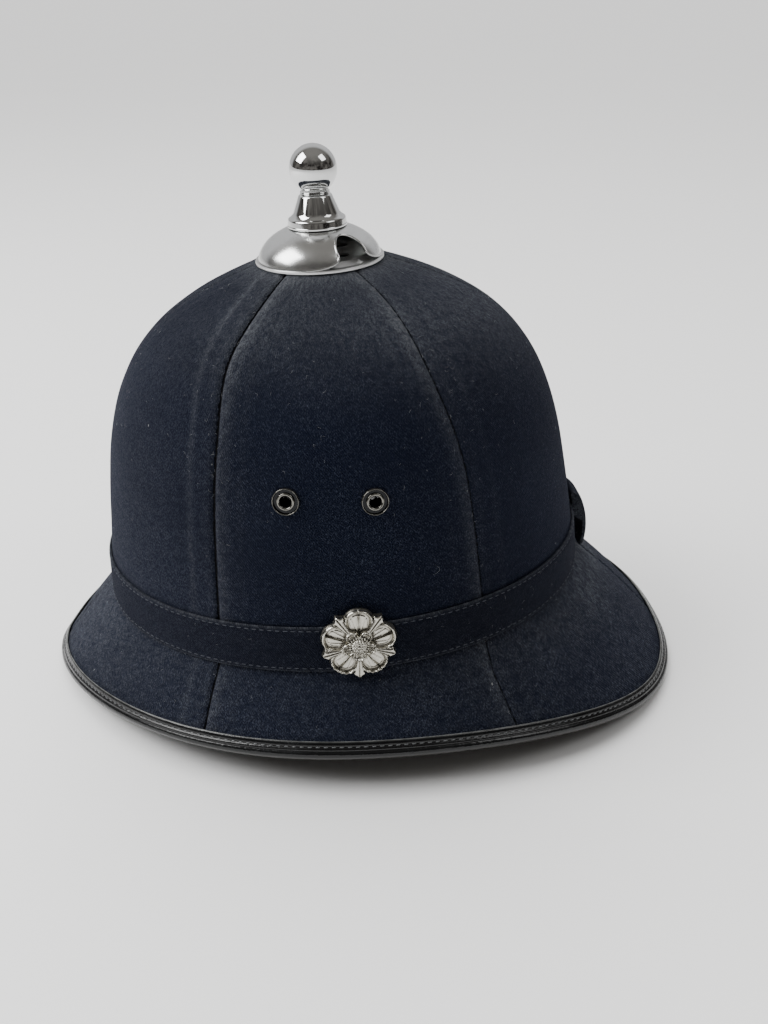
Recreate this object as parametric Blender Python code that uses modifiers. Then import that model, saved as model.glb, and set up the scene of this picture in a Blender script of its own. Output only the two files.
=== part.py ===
"""Custodian helmet, worn size, standing on its rim. Metres, +Z up, -Y is the wearer's front, +X the left.

A hard hollow shell carries six cloth panels that run from the metal mount on top down to the
brim's edge. A cloth band goes round over them, a leather edging is folded round the rim, and a
turned finial, a vent dome and a plate sit on top. Eyelets and rosettes are fastened at both sides.
"""

import math

import bmesh
import bpy
from mathutils import Matrix, Vector

# The crown, measured at the top line of the band, in the crown's own leaning frame
CROWN_HALF_LENGTH = 0.1146
CROWN_HALF_WIDTH = 0.0953
CROWN_HEIGHT = 0.1398
CROWN_SQUARENESS = 4.46
CROWN_CONE = 0.23
WALL_TAPER = 0.184
CROWN_LEAN = math.radians(2.8)
CROWN_BASE_HEIGHT = 0.0694
CROWN_SET_FORWARD = 0.0107
TIP_SET_FORWARD = 0.0012
CROWN_HOLE_RADIUS = 0.0220

# The band, whose outer face starts at the crown's base and widens downward
BAND_DEPTH = 0.0212
BAND_FLARE = 0.0018
BAND_WALL = 0.0012
BAND_TOP_MARGIN = 0.0005

# The brim, from the band's lower line to the rim
RIM_HALF_LENGTH = 0.1593
RIM_HALF_WIDTH = 0.1210
RIM_ARCH = 0.0171
FRONT_RIM = {"squareness": 1.74, "flat": 0.14, "arch_power": 1.1}
REAR_RIM = {"squareness": 2.34, "flat": 0.35, "arch_power": 2.0}
BRIM_SWEEP = math.radians(5.6)
BRIM_SWELL = 0.015

# Walls and fits
SHELL_WALL = 0.0025
COVER_WALL = 0.0010
FIT_GAP = 0.0003
SEAM_GAP = 0.0004

# The leather edging round the rim
EDGING_WALL = 0.0010
EDGING_LEG = 0.0044
EDGING_FOOT_TURN = math.radians(12)
EDGING_END_ROOM = 0.0005

# The mount on top: plate, vent dome and finial, heights above the ring where the plate sits
PLATE_RADIUS = 0.0283
PLATE_EDGE_HEIGHT = 0.0015
PLATE_SEAT_WIDTH = 0.0025
PLATE_WALL = 0.0010
PLATE_VENT_RADIUS = 0.0035
PLATE_VENT_CIRCLE = 0.0130
PLATE_VENT_COUNT = 4
DOME_RADIUS = 0.0273
DOME_RISE = 0.0164
DOME_WALL = 0.0010
COLLAR_RADIUS = 0.0130
COLLAR_HEIGHT = 0.0042
CONE_FOOT_RADIUS = 0.0101
CONE_TOP_RADIUS = 0.0071
CONE_HEIGHT = 0.0081
NECK_RADIUS = 0.0055
NECK_HEIGHT = 0.0024
BALL_RADIUS = 0.0102
POST_RADIUS = 0.0030
POST_DROP = 0.0060

# The arched notches cut in the vent dome, on one line through its axis
NOTCH_TURN = math.radians(34)
NOTCH_HALF_WIDTH = 0.0071
NOTCH_HEIGHT = 0.0130
NOTCH_FLARE_WIDTH = 0.0100
NOTCH_FLARE_HEIGHT = 0.0050

# Eyelets, rosettes and the loop at the back of the band
EYELET_RADIUS = 0.0054
EYELET_BORE_RADIUS = 0.0025
EYELET_TUBE_WALL = 0.0006
EYELET_HEAD = 0.0016
EYELET_WASHER = 0.0006
ROSETTE_RADIUS = 0.0167
ROSETTE_DEPTH = 0.0056
ROSETTE_STUD_RADIUS = 0.0015
ROSETTE_DROP_SHARE = 0.32
ROSETTE_TURN = math.radians(0.9)
KEEPER_WIDTH = 0.0150
KEEPER_WALL = 0.0020
KEEPER_BOW = 0.0057
KEEPER_REACH = 0.0090

# How finely the forms are divided
MERIDIANS = 48
PANELS = 6
CROWN_ROWS = 9
BRIM_ROWS = 2
STEP = 0.001

# Eyelets on the wearer's left: angle from straight left toward the rear, height as a share of the crown
EYELETS = (
    {"name": "front", "angle": math.radians(-12.6), "height": 0.400},
    {"name": "rear", "angle": math.radians(6.9), "height": 0.384},
)

# Cloth panels and the angle of each one's middle, from straight left toward the rear
PANEL_NAMES = (
    ("left", 0),
    ("rear_left", 60),
    ("rear_right", 120),
    ("right", 180),
    ("front_right", 240),
    ("front_left", 300),
)

# Rosette rings from the front centre to the back: radius and height as shares, and the petals' wave
ROSETTE_RINGS = (
    {"radius": 0.20, "height": 0.96, "wave": 0.00},
    {"radius": 0.25, "height": 0.55, "wave": 0.00},
    {"radius": 0.45, "height": 0.80, "wave": 0.05},
    {"radius": 0.54, "height": 0.40, "wave": 0.05},
    {"radius": 0.83, "height": 0.68, "wave": 0.05},
    {"radius": 0.95, "height": 0.48, "wave": 0.05},
    {"radius": 0.92, "height": 0.16, "wave": 0.05},
    {"radius": 0.66, "height": 0.00, "wave": 0.02},
)

WALL_TOTAL = COVER_WALL + FIT_GAP + SHELL_WALL
BAND_STAND = FIT_GAP + BAND_WALL
EDGING_ROLL = WALL_TOTAL / 2 + FIT_GAP + EDGING_WALL
CROWN_FRAME = (
    Matrix.Translation((0, -CROWN_SET_FORWARD, CROWN_BASE_HEIGHT))
    @ Matrix.Rotation(CROWN_LEAN, 4, "X")
)


def clear_scene():
    for old in list(bpy.data.objects):
        bpy.data.objects.remove(old, do_unlink=True)


def make_collection(name):
    made = bpy.data.collections.new(name)
    bpy.context.scene.collection.children.link(made)
    return made


def make_material(name, colour, roughness, metallic=0.0):
    material = bpy.data.materials.new(name)
    material.use_nodes = True
    shader = material.node_tree.nodes["Principled BSDF"]
    shader.inputs["Base Color"].default_value = (*colour, 1.0)
    shader.inputs["Roughness"].default_value = roughness
    shader.inputs["Metallic"].default_value = metallic
    return material


# The crown's curve

def crown_ring(turn):
    """Radius share and height of the crown at a turn of 0 at the band and 90 degrees at the tip."""
    share = math.cos(turn) ** (2 / CROWN_SQUARENESS)
    dome = math.sin(turn) ** (2 / CROWN_SQUARENESS)
    height = CROWN_HEIGHT * ((1 - CROWN_CONE) * dome + CROWN_CONE * (1 - share))
    taper = 1 - WALL_TAPER * height / CROWN_HEIGHT
    return share, share * taper, height


def crown_turn(wanted, measure):
    """The turn at which a growing measure of the crown reaches the wanted value."""
    low, high = 0.0, math.pi / 2
    for _ in range(50):
        middle = (low + high) / 2
        if measure(middle) < wanted:
            low = middle
        else:
            high = middle
    return (low + high) / 2


def turn_at_height(height):
    return crown_turn(height, lambda turn: crown_ring(turn)[2])


def turn_at_radius(radius):
    return crown_turn(-radius, lambda turn: -CROWN_HALF_LENGTH * crown_ring(turn)[1])


HOLE_TURN = turn_at_radius(CROWN_HOLE_RADIUS)
MOUNT_TURN = turn_at_radius(PLATE_RADIUS)
MOUNT_SHARE = crown_ring(MOUNT_TURN)[0]
MOUNT_HEIGHT = crown_ring(MOUNT_TURN)[2]
HOLE_HEIGHT = crown_ring(HOLE_TURN)[2]


def crown_point(angle, turn):
    """A point of the cloth on the crown: oval at the band and round where the mount sits."""
    share, reach, height = crown_ring(turn)
    rise = min(1.0, (1 - share) / (1 - MOUNT_SHARE))
    half_width = CROWN_HALF_WIDTH + (CROWN_HALF_LENGTH - CROWN_HALF_WIDTH) * rise ** 2
    x = half_width * reach * math.cos(angle)
    y = CROWN_HALF_LENGTH * reach * math.sin(angle) - TIP_SET_FORWARD * rise
    return CROWN_FRAME @ Vector((x, y, height))


def band_point(angle, share):
    """A point of the cloth under the band, from its top line at 0 to its lower line at 1."""
    x = (CROWN_HALF_WIDTH + BAND_FLARE * share) * math.cos(angle)
    y = (CROWN_HALF_LENGTH + BAND_FLARE * share) * math.sin(angle)
    return CROWN_FRAME @ Vector((x, y, -BAND_DEPTH * share))


# The rim and the brim

def signed_power(value, power):
    return math.copysign(abs(value) ** power, value)


def rim_value(key, turn):
    """A rim value that passes evenly from the front to the rear."""
    rearward = (1 + math.sin(turn)) / 2
    return FRONT_RIM[key] + (REAR_RIM[key] - FRONT_RIM[key]) * rearward


def rim_turn(angle):
    """The brim's lines leave the band squarely, so they reach the rim at a smaller angle."""
    return angle - BRIM_SWEEP * math.cos(angle) * (1 + math.sin(angle)) ** 2


def rim_lift(angle):
    """Height of the rim's lowest line: flat at the front and the rear, arched at the sides."""
    turn = rim_turn(angle)
    flat = rim_value("flat", turn)
    side = max(0.0, (abs(math.cos(turn)) - flat) / (1 - flat))
    return RIM_ARCH * side ** rim_value("arch_power", turn)


def rim_centre(angle):
    """The centre line of the edging's roll."""
    turn = rim_turn(angle)
    power = 2 / rim_value("squareness", turn)
    x = (RIM_HALF_WIDTH - EDGING_ROLL) * signed_power(math.cos(turn), power)
    y = (RIM_HALF_LENGTH - EDGING_ROLL) * signed_power(math.sin(turn), power)
    z = EDGING_ROLL * math.cos(EDGING_FOOT_TURN) + rim_lift(angle)
    return Vector((x, y, z))


def rim_frame(angle):
    """The roll's centre and the directions up the brim and out of it."""
    centre = rim_centre(angle)
    along = (rim_centre(angle + STEP) - rim_centre(angle - STEP)).normalized()
    slope = band_point(angle, 1) - centre
    out = along.cross(slope).normalized()
    up = out.cross(along).normalized()
    return centre, up, out


def brim_point(angle, share):
    """A point of the cloth on the brim, from the band's lower line at 0 to its edge in the edging."""
    top = band_point(angle, 1)
    centre, up, out = rim_frame(angle)
    bottom = centre + out * (WALL_TOTAL / 2) + up * EDGING_END_ROOM
    swell = BRIM_SWELL * (bottom - top).length * math.sin(math.pi * share) ** 2
    return top.lerp(bottom, share) + out * swell


def cloth_point(angle, travel):
    """The cloth's outer face: travel runs 0 to 1 on the crown, to 2 under the band, to 3 on the brim."""
    travel = min(3.0, max(0.0, travel))
    if travel <= 1:
        return crown_point(angle, HOLE_TURN * (1 - travel))
    if travel <= 2:
        return band_point(angle, travel - 1)
    return brim_point(angle, travel - 2)


def cloth_normal(angle, travel):
    """Outward direction, taken evenly from both sides of a corner."""
    here = cloth_point(angle, travel)
    around = cloth_point(angle + STEP, travel) - cloth_point(angle - STEP, travel)
    down = Vector()
    if travel > 0:
        down += (here - cloth_point(angle, travel - STEP)).normalized()
    if travel < 3:
        down += (cloth_point(angle, travel + STEP) - here).normalized()
    return down.cross(around).normalized()


def inset_point(angle, travel, inset):
    return cloth_point(angle, travel) - cloth_normal(angle, travel) * inset


def even_crown_travels(rows):
    """Travels on the crown, spaced evenly along its curve from the hole to the band."""
    fine = 400
    lengths = [0.0]
    before = crown_point(math.pi / 2, HOLE_TURN)
    for count in range(1, fine + 1):
        here = crown_point(math.pi / 2, HOLE_TURN * (1 - count / fine))
        lengths.append(lengths[-1] + (here - before).length)
        before = here
    travels = [0.0]
    for row in range(1, rows):
        wanted = lengths[-1] * row / rows
        nearest = min(range(fine + 1), key=lambda count: abs(lengths[count] - wanted))
        travels.append(nearest / fine)
    return travels + [1.0]


def cloth_travels():
    """Rows of the shell and of every panel."""
    crown = even_crown_travels(CROWN_ROWS)
    brim = [2 + (row + 1) / BRIM_ROWS for row in range(BRIM_ROWS)]
    return crown + [2.0] + brim


def travel_at_height(height):
    return 1 - turn_at_height(height) / HOLE_TURN


# Building blocks

def add_object(name, data, collection, material=None, parent=None):
    made = bpy.data.objects.new(name, data)
    collection.objects.link(made)
    if material is not None:
        data.materials.append(material)
    made.parent = parent
    return made


def finish_mesh(bm, name, sharp=math.radians(40)):
    mesh = bpy.data.meshes.new(name)
    bm.to_mesh(mesh)
    bm.free()
    mesh.shade_smooth()
    mesh.set_sharp_from_angle(angle=sharp)
    return mesh


def sheet_mesh(name, columns, rows, place, closed=False):
    """A grid laid over columns and rows; place gives the point of a column and row number."""
    bm = bmesh.new()
    bmesh.ops.create_grid(bm, x_segments=columns, y_segments=rows, size=0.5)
    for vert in bm.verts:
        column = round((vert.co.x + 0.5) * columns)
        row = round((0.5 - vert.co.y) * rows)
        vert.co = place(column, row)
    if closed:
        bmesh.ops.remove_doubles(bm, verts=bm.verts, dist=1e-5)
    return finish_mesh(bm, name)


def add_wall(target, thickness):
    """Thickness inward from the sheet's outer face."""
    wall = target.modifiers.new("Wall", "SOLIDIFY")
    wall.thickness = thickness
    wall.offset = -1
    wall.use_even_offset = True


def turned_object(name, profile, collection, material, parent, steps, closed):
    """A profile of (radius, height) points, listed down the outer side, turned about Z."""
    bm = bmesh.new()
    verts = [bm.verts.new((radius, 0, height)) for radius, height in profile]
    for first, second in zip(verts, verts[1:]):
        bm.edges.new((first, second))
    if closed:
        bm.edges.new((verts[-1], verts[0]))
    made = add_object(name, finish_mesh(bm, name), collection, material, parent)
    screw = made.modifiers.new("Turn", "SCREW")
    screw.axis = "Z"
    screw.angle = math.tau
    screw.steps = steps
    screw.render_steps = steps
    screw.use_merge_vertices = True
    screw.merge_threshold = 1e-5
    screw.use_smooth_shade = True
    return made


def add_cutter(name, mesh, matrix, cutters):
    cutter = add_object(name, mesh, cutters)
    cutter.matrix_world = matrix
    cutter.hide_render = True
    cutter.display_type = "WIRE"
    return cutter


def rod_mesh(name, radius, length, sides):
    """A round rod about the middle of its length, along Z."""
    bm = bmesh.new()
    bmesh.ops.create_cone(
        bm, cap_ends=True, segments=sides, radius1=radius, radius2=radius, depth=length
    )
    return finish_mesh(bm, name)


def cut(target, cutter):
    boolean = target.modifiers.new(cutter.name, "BOOLEAN")
    boolean.operation = "DIFFERENCE"
    boolean.solver = "EXACT"
    boolean.object = cutter


def facing_matrix(point, normal):
    """Local Z along the normal and local Y as near to straight up as it can be."""
    z_axis = normal.normalized()
    x_axis = Vector((0, 0, 1)).cross(z_axis).normalized()
    y_axis = z_axis.cross(x_axis)
    turn = Matrix((x_axis, y_axis, z_axis)).transposed().to_4x4()
    return Matrix.Translation(point) @ turn


# The shell and its cloth

def make_shell(collection, material):
    travels = cloth_travels()
    inset = COVER_WALL + FIT_GAP

    def place(column, row):
        return inset_point(math.tau * column / MERIDIANS, travels[row], inset)

    mesh = sheet_mesh("shell", MERIDIANS, len(travels) - 1, place, closed=True)
    shell = add_object("shell", mesh, collection, material)
    add_wall(shell, SHELL_WALL)
    return shell


def make_panel(name, middle, collection, material):
    """One cloth panel between two seams, with half the seam's gap on each side."""
    travels = cloth_travels()
    columns = MERIDIANS // PANELS
    start = math.radians(middle) - math.pi / PANELS

    def place(column, row):
        angle = start + math.tau * column / MERIDIANS
        point = cloth_point(angle, travels[row])
        if 0 < column < columns:
            return point
        inward = STEP if column == 0 else -STEP
        along = cloth_point(angle + inward, travels[row]) - point
        return point + along.normalized() * (SEAM_GAP / 2)

    mesh = sheet_mesh("cover_" + name, columns, len(travels) - 1, place)
    panel = add_object("cover_" + name, mesh, collection, material)
    add_wall(panel, COVER_WALL)
    return panel


def make_hatband(collection, material):
    shares = (-BAND_TOP_MARGIN / BAND_DEPTH, 1 - FIT_GAP / BAND_DEPTH)

    def place(column, row):
        angle = math.tau * column / MERIDIANS
        return band_point(angle, shares[row]) + cloth_normal(angle, 1.5) * BAND_STAND

    mesh = sheet_mesh("hatband", MERIDIANS, len(shares) - 1, place, closed=True)
    band = add_object("hatband", mesh, collection, material)
    add_wall(band, BAND_WALL)
    return band


def make_keeper(collection, material):
    """A strap at the back whose ends lie on the cloth above and below the band."""
    brim_length = (brim_point(math.pi / 2, 1) - brim_point(math.pi / 2, 0)).length
    foot = KEEPER_REACH / 3
    travels = (
        travel_at_height(KEEPER_REACH),
        travel_at_height(KEEPER_REACH / 2),
        1.10,
        1.40,
        1.70,
        2.0,
        2 + foot / brim_length,
    )
    last = len(travels) - 1
    rearward = CROWN_FRAME.to_3x3() @ Vector((0, 1, 0))

    def place(column, row):
        side = (0.5 - column) * KEEPER_WIDTH
        stand = FIT_GAP * 1.6 + KEEPER_WALL + KEEPER_BOW * math.sin(math.pi * row / last)
        point = cloth_point(math.pi / 2, travels[row]) + rearward * stand
        return point + Vector((side, 0, 0))

    mesh = sheet_mesh("band_keeper", 1, last, place)
    keeper = add_object("band_keeper", mesh, collection, material)
    add_wall(keeper, KEEPER_WALL)
    return keeper


def make_edging(collection, material):
    """Leather folded round the rim: a leg outside, a roll with a flat foot, and a leg inside."""

    def section(angle):
        centre, up, out = rim_frame(angle)
        length = (band_point(angle, 1) - centre).length
        travel = 3 - (EDGING_LEG - EDGING_END_ROOM) / length
        outer = inset_point(angle, travel, -(FIT_GAP + EDGING_WALL))
        inner = inset_point(angle, travel, WALL_TOTAL + FIT_GAP + EDGING_WALL)
        down = math.atan2(up.z, -out.z)
        turns = (0, down / 2, down - EDGING_FOOT_TURN, down + EDGING_FOOT_TURN, math.pi)
        roll = [centre + (out * math.cos(turn) - up * math.sin(turn)) * EDGING_ROLL for turn in turns]
        for foot in roll[2:4]:
            foot.z = rim_lift(angle)
        return [outer, *roll, inner]

    sections = [section(math.tau * column / MERIDIANS) for column in range(MERIDIANS)]
    rows = len(sections[0]) - 1

    def place(column, row):
        return sections[column % MERIDIANS][row]

    mesh = sheet_mesh("edging", MERIDIANS, rows, place, closed=True)
    edging = add_object("edging", mesh, collection, material)
    add_wall(edging, EDGING_WALL)
    return edging


# The mount on top

def mount_frame():
    return CROWN_FRAME @ Matrix.Translation((0, -TIP_SET_FORWARD, MOUNT_HEIGHT))


def dome_height(radius):
    return DOME_RISE * math.sqrt(1 - (radius / DOME_RADIUS) ** 2)


def make_plate(collection, cutters, material, parent):
    """A thin lid over the crown's hole: an edge ring, a seat for the dome and a raised middle."""
    top = FIT_GAP + PLATE_EDGE_HEIGHT
    middle = HOLE_HEIGHT - MOUNT_HEIGHT + FIT_GAP
    hole = POST_RADIUS + FIT_GAP
    seat = PLATE_RADIUS - PLATE_SEAT_WIDTH
    profile = (
        (hole, middle + PLATE_WALL),
        (CROWN_HOLE_RADIUS, middle + PLATE_WALL),
        (seat, top),
        (PLATE_RADIUS, top),
        (PLATE_RADIUS, FIT_GAP),
        (CROWN_HOLE_RADIUS, middle),
        (hole, middle),
    )
    plate = turned_object("mount_plate", profile, collection, material, parent, 28, closed=True)
    for count in range(PLATE_VENT_COUNT):
        turn = math.tau * (count + 0.5) / PLATE_VENT_COUNT
        place = Vector((PLATE_VENT_CIRCLE * math.cos(turn), PLATE_VENT_CIRCLE * math.sin(turn), middle))
        mesh = rod_mesh("plate_vent_cutter", PLATE_VENT_RADIUS, PLATE_WALL * 6, 8)
        matrix = mount_frame() @ Matrix.Translation(place)
        cut(plate, add_cutter("plate_vent_cutter_%d" % (count + 1), mesh, matrix, cutters))
    return plate


def notch_outline():
    """An arch on flared feet, from the right foot over the top to the left foot."""
    foot = PLATE_EDGE_HEIGHT
    spring = foot + NOTCH_FLARE_HEIGHT
    right = [(NOTCH_HALF_WIDTH + NOTCH_FLARE_WIDTH, -NOTCH_FLARE_HEIGHT)]
    for count in range(6):
        turn = math.pi / 2 * count / 5
        x = NOTCH_HALF_WIDTH + NOTCH_FLARE_WIDTH * (1 - math.sin(turn))
        right.append((x, foot + NOTCH_FLARE_HEIGHT * (1 - math.cos(turn))))
    arch = []
    for count in range(1, 10):
        turn = math.pi * count / 10
        rise = (NOTCH_HEIGHT - spring) * math.sin(turn)
        arch.append((NOTCH_HALF_WIDTH * math.cos(turn), spring + rise))
    left = [(-x, y) for x, y in reversed(right)]
    return right + arch + left


def outline_mesh(name, points, half_depth):
    """A flat outline thickened evenly to both sides, as a closed mesh."""
    curve = bpy.data.curves.new(name, "CURVE")
    curve.dimensions = "2D"
    curve.fill_mode = "BOTH"
    curve.extrude = half_depth
    spline = curve.splines.new("POLY")
    spline.points.add(len(points) - 1)
    for target, (x, y) in zip(spline.points, points):
        target.co = (x, y, 0, 1)
    spline.use_cyclic_u = True
    guide = bpy.data.objects.new(name, curve)
    bpy.context.scene.collection.objects.link(guide)
    evaluated = guide.evaluated_get(bpy.context.evaluated_depsgraph_get())
    mesh = bpy.data.meshes.new_from_object(evaluated)
    bpy.data.objects.remove(guide, do_unlink=True)
    bm = bmesh.new()
    bm.from_mesh(mesh)
    bmesh.ops.remove_doubles(bm, verts=bm.verts, dist=1e-6)
    bmesh.ops.recalc_face_normals(bm, faces=bm.faces)
    bm.to_mesh(mesh)
    bm.free()
    return mesh


def make_dome(collection, cutters, material, parent):
    """A thin dome with a flat top for the collar, cut by one arch on each side."""
    foot = FIT_GAP * 2 + PLATE_EDGE_HEIGHT
    shoulder = math.acos(COLLAR_RADIUS / DOME_RADIUS)
    start = math.asin(foot / DOME_RISE)
    count = 5
    turns = [shoulder + (start - shoulder) * step / count for step in range(count + 1)]
    hole = POST_RADIUS + FIT_GAP
    top = dome_height(COLLAR_RADIUS)
    outer = [(DOME_RADIUS * math.cos(turn), DOME_RISE * math.sin(turn)) for turn in turns]
    inner_radius = DOME_RADIUS - DOME_WALL
    inner_rise = DOME_RISE - DOME_WALL
    inner = [(inner_radius * math.cos(turn), inner_rise * math.sin(turn)) for turn in turns]
    inner[-1] = (inner[-1][0], foot)
    inner.reverse()
    profile = [(hole, top)] + outer + inner + [(hole, inner[-1][1])]
    dome = turned_object("vent_dome", profile, collection, material, parent, 28, closed=True)
    mesh = outline_mesh("dome_notch_cutter", notch_outline(), DOME_RADIUS * 1.2)
    stand = Matrix.Rotation(NOTCH_TURN + math.pi / 2, 4, "Z") @ Matrix.Rotation(math.pi / 2, 4, "X")
    cut(dome, add_cutter("dome_notch_cutter", mesh, mount_frame() @ stand, cutters))
    return dome


def make_finial(collection, material, parent):
    """Ball, ringed neck, cone and stepped collar in one turned piece, on a plain hidden post."""
    collar_foot = dome_height(COLLAR_RADIUS) + FIT_GAP
    collar_top = collar_foot + COLLAR_HEIGHT
    cone_foot = collar_top + COLLAR_HEIGHT * 0.25
    cone_top = cone_foot + CONE_HEIGHT
    neck_top = cone_top + NECK_HEIGHT
    join = math.acos(NECK_RADIUS / BALL_RADIUS)
    ball_centre = neck_top + BALL_RADIUS * math.sin(join)
    profile = []
    for count in range(9):
        turn = math.pi / 2 - (math.pi / 2 + join) * count / 8
        profile.append((BALL_RADIUS * math.cos(turn), ball_centre + BALL_RADIUS * math.sin(turn)))
    profile[0] = (0, ball_centre + BALL_RADIUS)
    profile += [
        (NECK_RADIUS * 1.2, neck_top - NECK_HEIGHT * 0.30),
        (NECK_RADIUS, neck_top - NECK_HEIGHT * 0.50),
        (NECK_RADIUS * 1.2, neck_top - NECK_HEIGHT * 0.75),
        (CONE_TOP_RADIUS, cone_top),
        (CONE_FOOT_RADIUS, cone_foot),
        (COLLAR_RADIUS * 0.92, collar_top),
        (COLLAR_RADIUS, collar_top - COLLAR_HEIGHT * 0.3),
        (COLLAR_RADIUS, collar_foot),
        (POST_RADIUS, collar_foot),
        (POST_RADIUS, HOLE_HEIGHT - MOUNT_HEIGHT - POST_DROP),
        (0, HOLE_HEIGHT - MOUNT_HEIGHT - POST_DROP),
    ]
    return turned_object("ball_finial", profile, collection, material, parent, 24, closed=False)


# Eyelets and rosettes

def eyelet_profile():
    """A domed head outside, a tube through the wall and a washer inside."""
    tube = EYELET_BORE_RADIUS + EYELET_TUBE_WALL
    inside = -(WALL_TOTAL + FIT_GAP * 2)
    return (
        (EYELET_BORE_RADIUS, EYELET_HEAD * 0.7),
        (EYELET_BORE_RADIUS * 1.35, EYELET_HEAD + FIT_GAP),
        (EYELET_RADIUS * 0.85, EYELET_HEAD * 0.75 + FIT_GAP),
        (EYELET_RADIUS, FIT_GAP * 1.2),
        (tube, FIT_GAP * 1.2),
        (tube, inside),
        (EYELET_RADIUS * 0.8, inside),
        (EYELET_RADIUS * 0.8, inside - EYELET_WASHER),
        (EYELET_BORE_RADIUS, inside - EYELET_WASHER),
    )


def make_eyelet(side, row, collection, cutters, material, walls):
    angle = row["angle"] if side == "left" else math.pi - row["angle"]
    travel = travel_at_height(row["height"] * CROWN_HEIGHT)
    point = cloth_point(angle, travel)
    matrix = facing_matrix(point, cloth_normal(angle, travel))
    name = "eyelet_%s_%s" % (side, row["name"])
    eyelet = turned_object(name, eyelet_profile(), collection, material, None, 12, closed=True)
    eyelet.matrix_world = matrix
    radius = EYELET_BORE_RADIUS + EYELET_TUBE_WALL + FIT_GAP
    mesh = rod_mesh(name + "_cutter", radius, WALL_TOTAL * 4, 12)
    cutter = add_cutter(name + "_cutter", mesh, matrix, cutters)
    for wall in walls:
        cut(wall, cutter)
    return eyelet


def rosette_mesh(name, stud_length):
    """A ball primitive pressed into a five-petalled flower with a stud at its back."""
    rings = [
        (ring["radius"] * ROSETTE_RADIUS, ring["height"] * ROSETTE_DEPTH, ring["wave"])
        for ring in ROSETTE_RINGS
    ]
    rings += [(ROSETTE_STUD_RADIUS, 0.0, 0.0), (ROSETTE_STUD_RADIUS, -stud_length, 0.0)]
    bands = len(rings) + 1
    bm = bmesh.new()
    bmesh.ops.create_uvsphere(bm, u_segments=20, v_segments=bands, radius=1.0)
    for vert in bm.verts:
        ring = round(math.acos(max(-1.0, min(1.0, vert.co.z))) / math.pi * bands)
        if ring == 0:
            vert.co = (0, 0, ROSETTE_DEPTH)
            continue
        if ring == bands:
            vert.co = (0, 0, -stud_length)
            continue
        radius, height, wave = rings[ring - 1]
        turn = math.atan2(vert.co.y, vert.co.x)
        radius *= 1 + wave * math.cos(5 * (turn - math.pi / 2))
        vert.co = (radius * math.cos(turn), radius * math.sin(turn), height)
    return finish_mesh(bm, name)


def make_rosette(side, collection, cutters, material, walls):
    angle = ROSETTE_TURN if side == "left" else math.pi - ROSETTE_TURN
    share = ROSETTE_DROP_SHARE
    normal = cloth_normal(angle, 1.5)
    point = band_point(angle, share) + normal * (BAND_STAND + FIT_GAP)
    name = "rosette_" + side
    stud = BAND_STAND + FIT_GAP + WALL_TOTAL + FIT_GAP * 2
    rosette = add_object(name, rosette_mesh(name, stud), collection, material)
    rosette.matrix_world = facing_matrix(point, normal)
    mesh = rod_mesh(name + "_cutter", ROSETTE_STUD_RADIUS + FIT_GAP, stud * 4, 12)
    cutter = add_cutter(name + "_cutter", mesh, rosette.matrix_world, cutters)
    for wall in walls:
        cut(wall, cutter)
    return rosette


def main():
    clear_scene()
    parts = make_collection("custodian_helmet")
    cutters = make_collection("cutters")
    cloth = make_material("navy_wool_cloth", (0.012, 0.016, 0.030), 0.92)
    body = make_material("black_hard_body", (0.010, 0.010, 0.011), 0.80)
    leather = make_material("black_patent_leather", (0.008, 0.008, 0.009), 0.20)
    chrome = make_material("chromed_metal", (0.78, 0.78, 0.80), 0.08, 1.0)
    black_metal = make_material("black_enamelled_metal", (0.020, 0.020, 0.022), 0.25, 0.4)

    shell = make_shell(parts, body)
    panels = {name: make_panel(name, middle, parts, cloth) for name, middle in PANEL_NAMES}
    band = make_hatband(parts, cloth)
    make_keeper(parts, cloth)
    make_edging(parts, leather)

    mount = bpy.data.objects.new("mount_axis", None)
    parts.objects.link(mount)
    mount.matrix_world = mount_frame()
    make_plate(parts, cutters, chrome, mount)
    make_dome(parts, cutters, chrome, mount)
    make_finial(parts, chrome, mount)

    for side in ("left", "right"):
        for row in EYELETS:
            make_eyelet(side, row, parts, cutters, black_metal, (shell, panels[side]))
        make_rosette(side, parts, cutters, chrome, (shell, panels[side], band))
    bpy.context.view_layer.update()


main()
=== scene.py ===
"""Custodian helmet: the detailed pieces and finishes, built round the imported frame.

Metres, +Z up, -Y is the wearer's front and +X the wearer's left.
"""

import math

import bmesh
import bpy
import numpy as np
from bpy.props import FloatProperty, FloatVectorProperty, IntProperty, PointerProperty
from bpy.types import Operator, Panel, PropertyGroup
from mathutils import Matrix, Vector


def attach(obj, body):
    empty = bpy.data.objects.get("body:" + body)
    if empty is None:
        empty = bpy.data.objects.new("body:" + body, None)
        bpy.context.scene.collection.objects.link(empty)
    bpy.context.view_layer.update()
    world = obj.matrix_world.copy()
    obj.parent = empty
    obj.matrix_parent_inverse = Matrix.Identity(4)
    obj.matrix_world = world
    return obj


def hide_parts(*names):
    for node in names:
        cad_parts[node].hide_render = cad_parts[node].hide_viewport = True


bl_info = {
    "name": "Custodian helmet",
    "version": (1, 0, 0),
    "blender": (4, 5, 0),
    "location": "View3D > Sidebar > Helmet",
    "description": "Builds the cloth, leather and metal of a custodian helmet round its frame",
    "category": "Add Mesh",
}

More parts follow.
